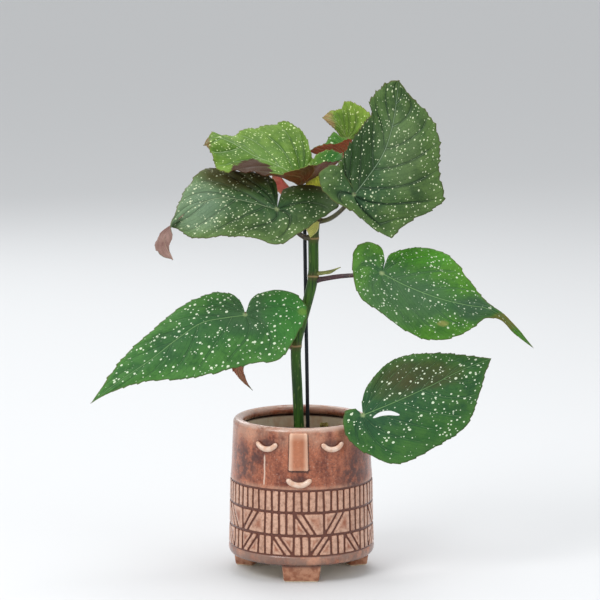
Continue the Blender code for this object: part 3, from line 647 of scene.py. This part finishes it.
# The blades
# Nine thin, lopsided leaves with toothed edges. Each one puckers between the veins that fan out
# from its joint; the upper side is spotted with white, the underside is reddish brown.
BLADE = 0.6
FAN_SHARE = 0.4      # share of a blade's rows that run out from the joint, the rest leave the midrib
VEIN_SWEEP = 0.16    # how much of a blade's length its veins move forward before the margin
USUAL_LEAF = dict(
    lean=0, swing=0, cad_rows=27, bow=5, wave=3, waves=2.5, tooth=1.9, teeth=34, across=56, along=200,
    veins=9, pucker=0.6)
LEAVES = dict(
    low_left=dict(
        joint=(-55, -30, 261), tooth=2.6, teeth=28, pucker=0.5, lean=0.75, swing=0.10, fan=(0.53, 0.25),
        spine=[(-19, -2), (-42, -6), (-66, -20), (-93, -39), (-121, -56), (-148, -75)],
        left=[(2, 6), (5, 12.5), (12, 17), (22, 20), (33, 21), (54, 13), (60, 3), (57, -7), (50, -19),
              (42, -30), (34, -40), (12, -43), (-10, -47), (-57, -55), (-102, -58), (-132, -67)],
        right=[(-2.4, 7), (-6.4, 13), (-13, 17), (-22, 19.3), (-30, 19.6), (-57, 10), (-90, -13),
               (-117, -36), (-137, -61)]),
    low_back=dict(
        joint=(-39, 22, 251), fan=(0.5, 0.5), cad_rows=21, bow=-3,
        spine=[(-5, -22, 8), (-14, -39, 10), (-24, -53, 10), (-20, -65, 6), (-10, -75, 2)],
        left=[(-6, 5, 0), (-22, 3, 6), (-40, -7, 14), (-47, -24, 20), (-38, -44, 18), (-28, -58, 12),
              (-20, -67, 6)],
        right=[(6, 9, -2), (22, 4, 4), (30, -12, 10), (20, -30, 12), (-4, -43, 11), (-19, -52, 9),
               (-18, -61, 7), (-15, -68, 4)]),
    low_right=dict(
        joint=(60, -62, 167), pucker=0.35, teeth=28, lean=0.35, swing=0.10, fan=(0.4, 0.48),
        spine=[(32, 12), (66, 26), (98, 41), (127, 51)],
        left=[(-1, 11), (4.5, 26), (22, 45), (45, 54), (68, 56), (98, 53.5)],
        right=[(-7, 6), (-16, 3), (-19, -8), (-11, -26), (12, -40), (33, -46), (73, -31), (101, -12),
               (115, 19), (121, 38)]),
    mid_right=dict(
        joint=(79, -28, 302), pucker=0.3, teeth=26, lean=0.45, swing=-0.10, fan=(0.22, 0.48),
        spine=[(23, -11), (54, -22), (81, -28), (102, -31), (116, -38), (131, -52), (146, -67)],
        left=[(3, 7), (7, 16), (17, 21), (42, 23), (66, 16), (84, -5), (101, -25), (118, -36, -2),
              (133, -51, -2)],
        right=[(3, 11), (0, 22), (-13, 28), (-26, 20), (-28, 2), (-21, -22), (0, -37), (16, -49), (41, -61),
               (63, -60), (83, -52), (101, -40), (115, -42, 3), (129, -55, 3)]),
    high_left=dict(
        joint=(-24, -35, 366), tooth=2.2, teeth=36, pucker=0.9, lean=0.9, swing=0.10, fan=(0.55, 0.29),
        spine=[(-26, 7), (-55, 11), (-79, 4), (-95, -8), (-104, -17), (-108, -28), (-100, -43)],
        left=[(3, 11), (6, 17), (22, 20), (45, 17), (60, 3), (50, -4), (27, -18), (2, -31), (-24, -25),
              (-52, -23), (-83, -24), (-95, -17, 3), (-103, -16, 7), (-112, -21, 4), (-117, -30),
              (-112, -38)],
        right=[(1, 12), (-2, 23), (-12, 31), (-32, 33), (-60, 37), (-75, 33), (-91, 14), (-99, -4, -3),
               (-103, -14, -7), (-101, -23, -4), (-104, -32)]),
    high_right=dict(
        joint=(51, -50, 382), tooth=3.4, teeth=36, pucker=1.4, lean=0.20, swing=0.15, fan=(0.25, 0.55),
        cad_rows=33,
        spine=[(12, 15), (28, 38), (37, 63), (41, 85), (44, 109)],
        left=[(-4, 10, 3), (-12, 20, 5), (-15, 27, 5), (-10, 34, 4), (-7, 41, 3), (-2, 49, 1), (3, 57),
              (12, 69), (18, 76), (16, 87), (23, 97), (35, 107)],
        right=[(-2, 7, -2), (-6, 14, -2), (-12, 24, -2), (-19, 28, -2), (-27, 25), (-33, 17), (-30, 6),
               (-17, -7), (-1, -15), (16, -30), (33, -40), (36.5, -42), (39, -38.5), (50, -28), (74, -17),
               (87, -6), (82.5, 18), (82, 54), (73, 74), (54, 94)]),
    top_left=dict(
        joint=(-2, -4, 385), fan=(0.42, 0.42), cad_rows=25, bow=0, wave=1.5, tooth=3.4, teeth=40, pucker=1,
        spine=[(-8, 13, 1), (-26, 23, 2), (-43, 30, 2), (-69, 45, 1), (-83, 49, -2), (-94, 42, -8)],
        left=[(38, 25, -6), (20, 25, -26), (7, 23, -34), (-5, 19, -39), (-16, 17, -41), (-31, 16, -42),
              (-48, 19, -39), (-65, 19, -34), (-78, 19, -27), (-84, 30, -18), (-88, 39, -12)],
        right=[(42, 28, -1), (40, 31, 8), (32, 33, 15), (22, 31, 18), (16, 29, 19), (12.7, 24.5, 20),
               (11, 30, 24), (9, 38, 31), (4, 48, 42), (-7, 56, 50), (-18, 58, 52), (-31, 54, 52),
               (-51, 52, 46), (-69, 46, 32), (-86, 51, 10)]),
    top_mid=dict(
        joint=(48, 38, 410), fan=(0.35, 0.35), cad_rows=15, bow=0, wave=0.5, tooth=2, across=36, along=90,
        veins=8, pucker=0.5,
        spine=[(-14, 4, 0), (-29, 2, -1), (-40, 6, -3)],
        left=[(2, 18, -10), (-4, 18, -13), (-12, 14, -14), (-22, 14, -14), (-32, 11, -11)],
        right=[(-2, 17, 6), (-9, 19, 9), (-15, 23, 10), (-22, 15, 8), (-25, 10, 5), (-34, 8, 2)]),
    top_right=dict(
        joint=(46, 58, 425), fan=(0.4, 0.55), cad_rows=17, bow=2, wave=1, tooth=2.4, across=44, along=100,
        veins=8, pucker=0.7,
        spine=[(-5, 11, -2), (-13, 20, -4), (-25, 23, -6)],
        left=[(-5, 1, -4), (-11, 10, -10), (-18, 17, -10)],
        right=[(7, 0, 2), (18, 9, 8), (24, 21, 12), (18, 28, 14), (9, 34, 12), (-2, 37, 9), (-6, 30, 6),
               (-17, 28, 1)]))
LEAVES = {name: {**USUAL_LEAF, **leaf} for name, leaf in LEAVES.items()}


def with_depth(points, lean, swing):
    """Guide points (x, z) or (x, z, depth) of a blade, as x, depth, z."""
    return [(p[0], lean * p[1] + swing * p[0] + (p[2] if len(p) > 2 else 0), p[1]) for p in points]


def margin(points, fan, shares):
    """The edge of half a blade, with its first part given to the rows that fan from the joint."""
    fine = smooth_run(points, 400)
    along = np.where(shares < FAN_SHARE, shares / FAN_SHARE * fan,
                     fan + (shares - FAN_SHARE) / (1 - FAN_SHARE) * (1 - fan))
    walked = np.linspace(0, 1, len(fine))
    return np.column_stack([np.interp(along, walked, fine[:, k]) for k in range(3)])


def vein_line(share, across):
    """Where a point lies between the veins, which sweep towards the tip as they run out."""
    return share - VEIN_SWEEP * np.abs(across) ** 1.3 * np.clip(share / 0.35, 0, 1)


def blade_mesh(leaf, seed):
    """A blade lofted across its midrib, puckered between its veins, with its measures on it.

    Each corner keeps how many millimetres a unit of share and a unit of across are there, and how
    far it is from the joint. The map "blade" holds across and share themselves.
    """
    columns, rows = leaf["across"], leaf["along"]
    shares = np.linspace(0, 1, rows + 1)
    joint = np.array(leaf["joint"], dtype=float)
    lean, swing = leaf["lean"], leaf["swing"]
    edge = {side: margin(with_depth(leaf[side] + [leaf["spine"][-1]], lean, swing), fan, shares)
            for side, fan in zip(("left", "right"), leaf["fan"])}
    spine = smooth_run([(0, 0, 0)] + with_depth(leaf["spine"], lean, swing), 200)
    walked = np.clip((shares - FAN_SHARE) / (1 - FAN_SHARE), 0, 1)
    middle = np.column_stack([np.interp(walked, np.linspace(0, 1, 200), spine[:, k]) for k in range(3)])
    across = np.linspace(-1, 1, columns + 1)[None, :]
    share = shares[:, None]
    reach = np.where((across < 0)[..., None], edge["left"][:, None], edge["right"][:, None]) - middle[:, None]
    length = np.maximum(np.linalg.norm(reach, axis=2), 1e-6)

    # the teeth stand on the margin, larger and smaller in turn
    lobe = 1 - np.abs(share * (leaf["cad_rows"] - 1) % 2 - 1)
    saw = share * leaf["teeth"] + 0.35 * np.sin(share * 31 + seed) + 0.5 * (across < 0)
    size = 0.65 + 0.35 * np.sin(np.floor(saw) * 2.4 + seed)
    tooth = leaf["tooth"] * (0.35 * lobe + 0.75 * size * (saw % 1) ** 1.4)
    tooth = tooth * np.clip((length - 3) / 9, 0, 1) * np.clip((np.abs(across) - 0.82) / 0.18, 0, 1) ** 1.5
    place = middle[:, None] + reach * (np.abs(across)[..., None] * (1 + (tooth / length)[..., None]))
    wave = leaf["wave"] * np.sin(math.tau * (leaf["waves"] * share + 0.3 * (across < 0)))
    place[..., 1] += np.minimum(1, length / 40) * (leaf["bow"] * across**2 + wave * np.abs(across)**1.5)

    # the skin lifts between the veins and sinks along the midrib
    by_share = np.gradient(place, axis=0) * rows
    by_across = np.gradient(place, axis=1) * columns / 2
    square = np.cross(by_across, by_share)
    area = np.linalg.norm(square, axis=2)
    square /= np.maximum(area, 1e-6)[..., None]
    spread = area / np.maximum(np.linalg.norm(by_across, axis=2), 1e-6)
    far = np.linalg.norm(place, axis=2)
    veins = leaf["veins"]
    pillow = np.abs(np.sin(math.pi * veins * vein_line(share, across))) ** 0.7
    strength = np.clip(spread / veins / 7, 0, 1) * np.clip(np.abs(across) * length / 6, 0, 1)
    trough = np.clip(np.abs(across) * length / 5, 0, 1) - 1
    ripple = np.sin(math.tau * (share * 9 + seed * 0.37)) * np.clip((np.abs(across) - 0.7) / 0.3, 0, 1)
    lift = leaf["pucker"] * (strength * (1.6 * pillow - 1) + 0.7 * trough * (share > FAN_SHARE))
    lift = lift + leaf["pucker"] * 0.7 * ripple * np.clip(length / 25, 0, 1)
    place = place + square * lift[..., None] + joint

    work = bmesh.new()
    bmesh.ops.create_grid(work, x_segments=columns, y_segments=rows, size=1)
    blade_map = work.loops.layers.uv.new("blade")
    measure = work.verts.layers.float_vector.new("measure")
    for face in work.faces:
        for loop in face.loops:
            loop[blade_map].uv = (loop.vert.co.x, (loop.vert.co.y + 1) / 2)
    for v in work.verts:
        i, j = round((v.co.y + 1) / 2 * rows), round((v.co.x + 1) / 2 * columns)
        v[measure] = (spread[i, j], length[i, j], far[i, j])
        v.co = Vector(place[i, j]) * MM
    bmesh.ops.remove_doubles(work, verts=work.verts, dist=0.05 * MM)
    bmesh.ops.dissolve_degenerate(work, edges=work.edges, dist=0.02 * MM)
    return work


def ragged_overlay(where, tone, edge, soft, colour, x, z, wide, tall, depth):
    """A ragged oval of another colour round (x, z), seen from the front, over this tone."""
    reach = ((where.axis(0) / MM - x) / wide) ** 2 + ((where.axis(2) / MM - z) / tall) ** 2
    reach = reach + (where.grain(1800 / wide, 3) - 0.5) * 1.6
    return (reach.fade(edge, edge - soft) * depth).mix(tone, colour)


def blade_finish(name, leaf, look, upper):
    """The skin of one side of a blade: its veins, its spots and its shades of green or red."""
    made, shader, where = new_finish(name)
    blade = where.node("UVMap", {"uv_map": "blade"})
    across, share = blade.axis(0), blade.axis(1)
    measure = where.node("Attribute", {"attribute_name": "measure"}, out=1)
    spread, length, far = measure.axis(0), measure.axis(1), measure.axis(2)
    out = abs(across)
    line = share - out ** 1.3 * VEIN_SWEEP * (share / 0.35).least(1)
    veins = leaf["veins"]
    wander = where.grain(180) - 0.5
    off_vein = (0.5 - abs((line * veins).fraction() - 0.5)) * spread / veins
    off_midrib = out * length + share.fade(FAN_SHARE + 0.005, FAN_SHARE - 0.005) * 30
    thick = 1 - share * 0.6
    main = (off_vein + wander * 1.2).fade(0.75, 0.15) * out.fade(1, 0.75)
    hollow = (off_vein + wander * 2).fade(3.2, 0.3) * out.fade(1, 0.6)
    midrib = (off_midrib / thick).fade(1.3, 0.3)
    flank = (off_midrib / thick).fade(4, 0.9)
    small = (line * veins * 4 + wander * 0.6).fraction()
    off_small = (0.5 - abs(small - 0.5)) * spread / (veins * 4)
    branch = off_small.fade(0.45, 0.1) * (out * length).fade(2, 8)
    net = where.node("TexVoronoi", {"feature": "DISTANCE_TO_EDGE"}, {"Vector": where, "Scale": 420})
    net = net.fade(0.10, 0.02)
    if upper:
        # clouded green, with a painted highlight on the folds between the vein hollows, paler towards the
        # edge, duller at the heart
        folds = where.grain(75, 3, 0.6).fade(0.36, 0.64)
        tone = where.grain(24, 3).fade(0.35, 0.65).mix(look["deep"], look["mid"]).washed(
            ((1 - hollow) * (folds * 0.5 + 0.15), look["light"]), (out.fade(0.72, 1) * 0.45, look["light"]),
            (out.fade(0.75, 0.1) * share.fade(1, 0.6) * 0.45, look["heart"]))
        for ragged_oval in look["stains_light_and_shade"]:
            tone = ragged_overlay(where, tone, 1.9, 1.6, *ragged_oval)

        # painted shade in the hollows beside the pale veins, beside the midrib and along the fine veins, a
        # pale pad at the joint and a brown rim
        joint_pad = (far + wander * 3).fade(3.4, 0.4)
        rim = ((1 - out) * length).fade(1.1, 0.35)
        tone = tone.washed(
            (net * 0.18 + branch * 0.22, look["deep"]),
            (hollow * share.fade(1, 0.3) * look["relief"] * 0.3 + flank * 0.30, look["dark"]),
            (main * (share * 0.45 + 0.08) + midrib * 0.65, look["vein"]),
            (joint_pad * 0.5, (176, 192, 136)), (rim * 0.4, look["rim"]))

        # round spots of two sizes, longer along the blade, kept off its veins
        long_way = Vector(with_depth([leaf["spine"][-1]], leaf["lean"], leaf["swing"])[0])
        turn = tuple(long_way.to_track_quat("X", "Z").to_euler())
        lying = where.node("Mapping", {"vector_type": "TEXTURE"},
                           {"Vector": where, "Rotation": turn, "Scale": (1.35, 1, 1)})
        spots = 0
        for scale, low, high in look["spots"]:
            even = {"Vector": lying, "Scale": scale, "Randomness": 0.72}
            cell = lying.node("TexVoronoi", None, even)
            size = lying.node("TexVoronoi", None, even, out=1).axis(0)
            ends = {3: low * scale * MM, 4: high * scale * MM}
            reach = size.node("MapRange", None, {0: size, 1: 0, 2: 1, **ends})
            spots = (reach - cell).fade(0, 0.16 * scale * MM) + spots
        spots = spots.least(1) * off_midrib.fade(1.2, 2.2) * off_vein.fade(0.5, 1.2) * far.fade(5, 9)
        spots = spots * ((1 - out) * length).fade(1, 2.2)
        tone = (spots * look["spot_share"]).mix(tone, look["spot"])
        for turned in look["turned"]:
            tone = ragged_overlay(where, tone, 1, 0.2, *turned)
        height = folds * 0.8 - net * 0.12 - branch * 0.3 - main * look["relief"]
        height = height - midrib * 0.5 + spots * 0.12
    else:
        tone = where.grain(40, 3).fade(0.35, 0.65).mix(look["under"], look["under_light"]).washed(
            (net * 0.25 + branch * 0.35, look["under_vein"]), (main * 0.7 + midrib * 0.8, look["under_vein"]))
        for ragged_oval in look["under_stains"]:
            tone = ragged_overlay(where, tone, 1.9, 1.6, *ragged_oval)
        height = net * 0.12 + branch * 0.3 + main * 0.9 + midrib * 1.4
    lay_on(shader, tone, where.grain(90) * 0.2 + (0.36 if upper else 0.42), height.bump(0.6, 0.9), 0.2)
    return made


OLD_SPOTS = ((260, -0.5, 1.3), (370, -0.4, 0.9))   # cells in a metre, smallest and largest radius
FINE_SPOTS = ((340, -0.5, 1.05), (450, -0.35, 0.75))
# a brownish green, a green in painted shade, and a bluish grey
BROWN_GREEN, SHADED_GREEN, BLUISH_GREY = (72, 60, 32), (34, 62, 24), (126, 152, 124)
# each stain, and each patch of painted shade or painted light, is a colour, the x and z of its middle, half
# its width and height, and its share
GREEN = dict(
    deep=(32, 76, 34), mid=(48, 98, 44), heart=(44, 82, 58), light=(78, 130, 56), dark=(22, 56, 28),
    vein=(120, 160, 100), rim=(96, 70, 44), under=(112, 50, 42), under_light=(140, 72, 56),
    under_vein=(150, 130, 86), spots=OLD_SPOTS, spot=(222, 234, 206), spot_share=0.84, relief=0.8,
    stains_light_and_shade=(), under_stains=(), turned=())
LOOKS = dict(
    low_left=dict(
        relief=0.5, stains_light_and_shade=[((62, 88, 60), -52, 262, 30, 16, 0.5), ((44, 116, 44), -8, 262, 26, 26, 0.45),
                            ((124, 152, 60), 1, 263, 4.5, 3, 0.4)]),
    low_back=dict(under_stains=[((170, 124, 100), -50, 186, 16, 17, 0.75)]),
    low_right=dict(
        deep=(26, 68, 38), mid=(38, 86, 40), light=(68, 112, 46), relief=0.5,
        stains_light_and_shade=[(BROWN_GREEN, 118, 204, 36, 13, 0.55), (BROWN_GREEN, 90, 194, 22, 13, 0.4)]),
    mid_right=dict(
        deep=(34, 80, 26), mid=(50, 98, 34), light=(80, 134, 32), relief=0.3, spots=FINE_SPOTS,
        spot_share=0.66,
        # the bright green near the top is painted light shining through the blade, and the dark patch before
        # the tail is painted shadow
        stains_light_and_shade=[((60, 132, 14), 124, 322, 34, 11, 0.6), ((66, 96, 66), 98, 276, 40, 24, 0.6),
                ((44, 70, 52), 168, 270, 20, 12, 0.7), ((160, 150, 84), 138, 256, 5, 2.5, 0.5),
                ((108, 100, 44), 199, 259, 13, 8, 0.8)]),
    high_left=dict(
        deep=(38, 64, 28), mid=(58, 86, 40), light=(98, 124, 68), dark=(28, 46, 22), vein=(150, 170, 130),
        spot=(206, 216, 178), relief=1.2, spots=FINE_SPOTS, under=(104, 70, 64), under_light=(134, 106, 98),
        under_vein=(160, 134, 118),
        stains_light_and_shade=[(BLUISH_GREY, -112, 370, 34, 22, 0.45), (SHADED_GREEN, 26, 374, 24, 30, 0.7),
                (BROWN_GREEN, -58, 400, 36, 14, 0.8), (BROWN_GREEN, 16, 392, 26, 9, 0.8)]),
    high_right=dict(
        deep=(30, 56, 26), mid=(48, 78, 36), light=(88, 116, 58), dark=(16, 36, 20), vein=(132, 156, 124),
        spot=(206, 216, 178), relief=1.6, spots=FINE_SPOTS,
        # painted shade on the left half beside the midrib, and painted light on the right half
        stains_light_and_shade=[(SHADED_GREEN, 56, 432, 17, 42, 0.95), ((110, 134, 84), 96, 424, 20, 34, 0.4)]),
    top_left=dict(
        heart=(84, 122, 46), deep=(54, 90, 20), mid=(76, 112, 28), light=(110, 142, 50), dark=(48, 78, 26),
        vein=(176, 200, 148), spot=(206, 222, 160), rim=(110, 90, 50), under=(74, 50, 18),
        under_light=(110, 56, 28), under_vein=(120, 96, 50), spots=FINE_SPOTS,
        stains_light_and_shade=[((28, 88, 10), 34, 410, 17, 12, 1), ((112, 78, 52), -97, 428, 7, 9, 0.85)],
        turned=[((58, 32, 8), -50, 403, 22, 9, 1)]),
    top_mid=dict(
        heart=(66, 122, 42), deep=(48, 102, 34), mid=(66, 122, 42), light=(96, 142, 56), under=(136, 58, 30),
        under_light=(176, 88, 52), under_vein=(140, 96, 50)),
    top_right=dict(
        heart=(98, 132, 40), deep=(76, 110, 30), mid=(98, 132, 40), light=(130, 160, 58), dark=(60, 84, 28),
        vein=(166, 184, 116), spot=(214, 226, 160), rim=(120, 90, 56), spots=FINE_SPOTS, under=(136, 58, 34),
        under_light=(172, 84, 54), stains_light_and_shade=[((168, 128, 96), 24, 436, 9, 16, 0.85)]))
MATURE = ("low_left", "low_back", "low_right", "mid_right", "high_left", "high_right")


def thicken(piece, thickness):
    """Gives a thin piece its thickness, with its underside in the second finish."""
    wall = piece.modifiers.new("thickness", "SOLIDIFY")
    wall.thickness = thickness * MM
    wall.offset = 0
    wall.use_even_offset = False
    wall.material_offset = 1
    wall.material_offset_rim = 0


blades = {}
for number, (leaf_name, leaf) in enumerate(LEAVES.items()):
    look = {**GREEN, **LOOKS[leaf_name]}
    blade = finish_piece(f"blade_{leaf_name}", f"leaf_{leaf_name}",
                         "mature_leaf" if leaf_name in MATURE else "young_leaf", blade_mesh(leaf, number),
                         blade_finish(f"{leaf_name}_upper", leaf, look, upper=True),
                         blade_finish(f"{leaf_name}_under", leaf, look, upper=False))
    thicken(blade, BLADE)
    blades[leaf_name] = blade


# The tear in the low right leaf
# A narrow arched split beside the midrib, right through the blade.
TEAR_WIDTH, TEAR_REACH = 2.2, 60   # half the split's width, and how far the cut runs front to back
torn = blades["low_right"]
tear_x, tear_y, tear_z = LEAVES["low_right"]["joint"]
tear_route = smooth_run([(tear_x + 10, 0, tear_z - 2.5), (tear_x + 17, 0, tear_z + 0.5),
                         (tear_x + 26, 0, tear_z + 1.5), (tear_x + 36, 0, tear_z - 0.5)], 41)
tear = bmesh.new()
bmesh.ops.create_cone(tear, cap_ends=True, segments=40, radius1=1, radius2=1, depth=1)
for v in tear.verts:
    across, up, through = v.co
    middle = tear_route[round((across + 1) * 20)]
    y = tear_y + 14 - through * TEAR_REACH
    v.co = Vector((middle[0], y, middle[2] + up * TEAR_WIDTH)) * MM + PLANT_SHIFT
bmesh.ops.recalc_face_normals(tear, faces=tear.faces)
cutter = put_in("tear", make_mesh("tear", tear))
cut = torn.modifiers.new("tear", "BOOLEAN")
cut.operation = "DIFFERENCE"
cut.object = cutter
bpy.context.view_layer.update()
cut_data = bpy.data.meshes.new_from_object(torn.evaluated_get(bpy.context.evaluated_depsgraph_get()))
torn.modifiers.clear()
torn.data = cut_data
bpy.data.objects.remove(cutter)


# The stalks
# A leaf hangs on one stalk, from the skin of the cane to the back of its blade. They are smooth
# and darker than the cane, from olive to wine.
STALKS = {   # seat on the cane (height, heading, rise in degrees), way to the blade, light and dark tone
    "low_left": ((227, 185, 12), [(-30, -6, 240), (-44, -15, 252)], (120, 84, 52), (86, 58, 40)),
    "low_back": ((223, 135, 12), [(-24, 11, 233), (-34, 14, 245)], (120, 84, 52), (86, 58, 40)),
    "low_right": ((139, -25, 5), [(24, -14, 141), (38, -27, 144), (43.3, -31.3, 149.5), (45.7, -33.7, 155),
                                  (49.5, -38.5, 159)], (96, 116, 56), (70, 84, 44)),
    "mid_right": ((291.7, 0, 9), [(38, -4, 295.6), (60, -12, 298)], (72, 40, 48), (48, 26, 36)),
    "high_left": ((334, 200, 8), [(-5, -9, 341), (-14, -20, 352)], (84, 88, 52), (60, 50, 36)),
    "high_right": ((350.5, -20, 4), [(31, -14, 356), (43, -32, 369)], (88, 90, 50), (62, 56, 38)),
    "top_left": ((366, 200, 12), [(2.5, -1.5, 373)], (150, 150, 80), (120, 100, 60)),
    "top_mid": ((370, 30, 15), [(33, 22, 386), (43, 33, 399)], (130, 96, 60), (100, 60, 46)),
    "top_right": (None, [(12.1, 5.2, 379), (12.7, 6.2, 382.6), (28, 34, 399), (42, 56, 411)],
                  (140, 120, 66), (110, 80, 52)),
}
FACES = {"low_back": (0.1, 1, 0.3), "top_left": (-0.3, 0.3, 1), "top_mid": (0.1, 0.1, 1),
         "top_right": (0, -0.8, 0.4)}   # the way that a blade faces, where its lean doesn't say
SEAT_IN, SEAT_OUT, SEAT_SKIN = 1.5, 3.8, 5.4   # a stalk starts in the cane, and runs straight out of it
STALK_POINTS = 60


def behind(name, distance):
    """The place at a distance behind a blade's joint, square to the blade."""
    leaf = LEAVES[name]
    face = Vector(FACES.get(name, (leaf["swing"], -1, leaf["lean"]))).normalized()
    return tuple(Vector(leaf["joint"]) - face * distance)


def cane_seat(height, heading, rise):
    """The first points of a stalk: in the cane, and a little way out of its skin."""
    middle = np.array([np.interp(height, cane_route[:, 2], cane_route[:, k]) for k in range(2)])
    across, up = math.radians(heading), math.radians(rise)
    away = np.array([math.cos(across), math.sin(across)])
    points = []
    for distance in (cane_radius(height) - SEAT_IN, cane_radius(height) + SEAT_OUT):
        x, y = middle + away * distance * math.cos(up)
        points.append((x, y, height + math.sin(up) * (distance - SEAT_SKIN)))
    return points


def stalk_finish(name, light, dark):
    made, shader, where = new_finish(name)
    streaks = where.stretched(0.35, 0.35, 0.35).grain(260, 3).fade(0.36, 0.64)
    fleck = where.grain(900, 1).fade(0.62, 0.72)
    tone = streaks.mix(dark, light).washed((fleck * 0.4, (190, 176, 130)))
    lay_on(shader, tone, streaks * 0.15 + 0.34, streaks.bump(0.3, 0.5))
    return made


for leaf_name, (seat, way, light, dark) in STALKS.items():
    start = cane_seat(*seat) if seat else []
    route = smooth_run(start + way + [behind(leaf_name, 7), behind(leaf_name, 0.3)], STALK_POINTS)
    shares = np.linspace(0, 1, STALK_POINTS)
    radii = 2.6 - 0.8 * shares + 0.7 * np.exp(-(shares / 0.05) ** 2)
    radii = radii + 0.4 * np.exp(-((1 - shares) / 0.06) ** 2)
    finish_piece(f"stalk_{leaf_name}", f"petiole_{leaf_name}", "petiole_skin", rod(route, radii, 18),
                 stalk_finish(f"{leaf_name}_stalk", light, dark))


# The stipules and the side shoot
# Papery scales that wrapped the buds, still held at the top joints, and a young shoot with a
# pointed tip in the corner of the middle leaf.
SCALE_THICKNESS = 0.5
USUAL_STIPULE = dict(
    fan=(0.3, 0.3), cad_rows=9, across=24, along=40, bow=1.5, wave=0, tooth=0, veins=6, pucker=0.35)
STIPULES = {   # slot, measures of the scale, and its deep, light and edge tone
    "stipule_cane_top": ("stipule_green", dict(
        joint=(12.8, -5, 351), lean=0.06, spine=[(-1, -8), (-4, -17)],
        left=[(5, -1), (3, -10), (-2, -15)], right=[(-7, -3), (-8, -8), (-6, -13)]),
        (158, 170, 66), (206, 208, 110), (212, 200, 140)),
    "stipule_crown": ("stipule_green", dict(
        joint=(13.5, -0.4, 371), spine=[(1, 12), (5, 25)],
        left=[(-5, 4), (-10, 13), (-6, 21)], right=[(4, 3), (7, 13), (7, 21)]),
        (186, 196, 44), (214, 216, 70), (200, 184, 80)),
    "stipule_pink": ("stipule_pink", dict(
        joint=(9, 5.7, 360), spine=[(-19, 14), (-37, 38)],
        left=[(-8, 1), (-25, 12), (-38, 27)], right=[(-1.5, 6), (-14, 16), (-24, 27), (-32, 36)]),
        (248, 116, 104), (255, 186, 150), (228, 190, 120)),
}


def papery_finish(name, deep, light, edge):
    made, shader, where = new_finish(name)
    blade = where.node("UVMap", {"uv_map": "blade"})
    across, share = blade.axis(0), blade.axis(1)
    fold = where.grain(70, 3).fade(0.35, 0.65)
    lines = where.math("SINE", share * 22 * math.pi + where.grain(160) * 2)
    margins = abs(across).fade(0.7, 1)
    tone = fold.mix(deep, light).washed((lines.fade(0.3, 1) * 0.25, deep), (margins * 0.8, edge))
    lay_on(shader, tone, fold * 0.2 + 0.42, (lines + fold).bump(0.3, 0.5))
    return made


for node, (slot, scale, *tones) in STIPULES.items():
    finish = papery_finish(node, *tones)
    scale_work = blade_mesh({**USUAL_LEAF, **USUAL_STIPULE, **scale}, 3)
    thicken(finish_piece(f"{node}_scale", node, slot, scale_work, finish, finish), SCALE_THICKNESS)

shoot_route = smooth_run([(15.5, -2, 298.2), (22, -3.2, 299), (31, -4, 301.5), (39, -5, 305)], 40)
shoot_work = rod(shoot_route, np.linspace(1, 0, 40) ** 0.7 * 2 + 0.25, 16)
bract_route = smooth_run([(21, -3.6, 298.6), (27, -4.6, 299.4), (33.5, -5.4, 301.4)], 24)
add_to(shoot_work, rod(bract_route, np.sin(np.linspace(0.15, 1, 24) * math.pi) * 1.3 + 0.2, 12))
finish_piece("young_shoot", "side_shoot", "stipule_green", shoot_work,
             stalk_finish("shoot_skin", (150, 156, 84), (104, 110, 52)))


# The withered scrap
# A curled piece of a dropped leaf on the soil behind the cane.
SCRAP_X, SCRAP_Y, SCRAP_Z, SCRAP_HALF = 23, 42, SOIL_TOP + 4.6, 4.5   # its middle, and half its width
CURL, CURL_RADIUS = math.radians(110), 3.4   # the turn from the middle of the scrap to an end
scrap_work = bmesh.new()
bmesh.ops.create_grid(scrap_work, x_segments=24, y_segments=36, size=1)
for v in scrap_work.verts:
    x, y = v.co.x, v.co.y
    curl_radius = CURL_RADIUS + noise.noise(Vector((x * 2, y * 3, 0))) * 0.6
    wide = SCRAP_HALF * math.sqrt(max(0.15, 1 - 0.5 * y * y))
    v.co = Vector((SCRAP_X + wide * x, SCRAP_Y + curl_radius * math.sin(CURL * y) + x,
                   SCRAP_Z - curl_radius * math.cos(CURL * y) + 0.4 * x * x)) * MM
scrap_finish, shader, where = new_finish("dry_scrap")
dry = where.grain(220, 3).fade(0.35, 0.65)
lay_on(shader, dry.mix((126, 110, 50), (196, 188, 104)), dry * 0.2 + 0.55, dry.bump(0.4, 0.6))
scrap = finish_piece("dry_curl", "dry_scrap", "dry_leaf", scrap_work, scrap_finish, scrap_finish)
thicken(scrap, SCALE_THICKNESS)
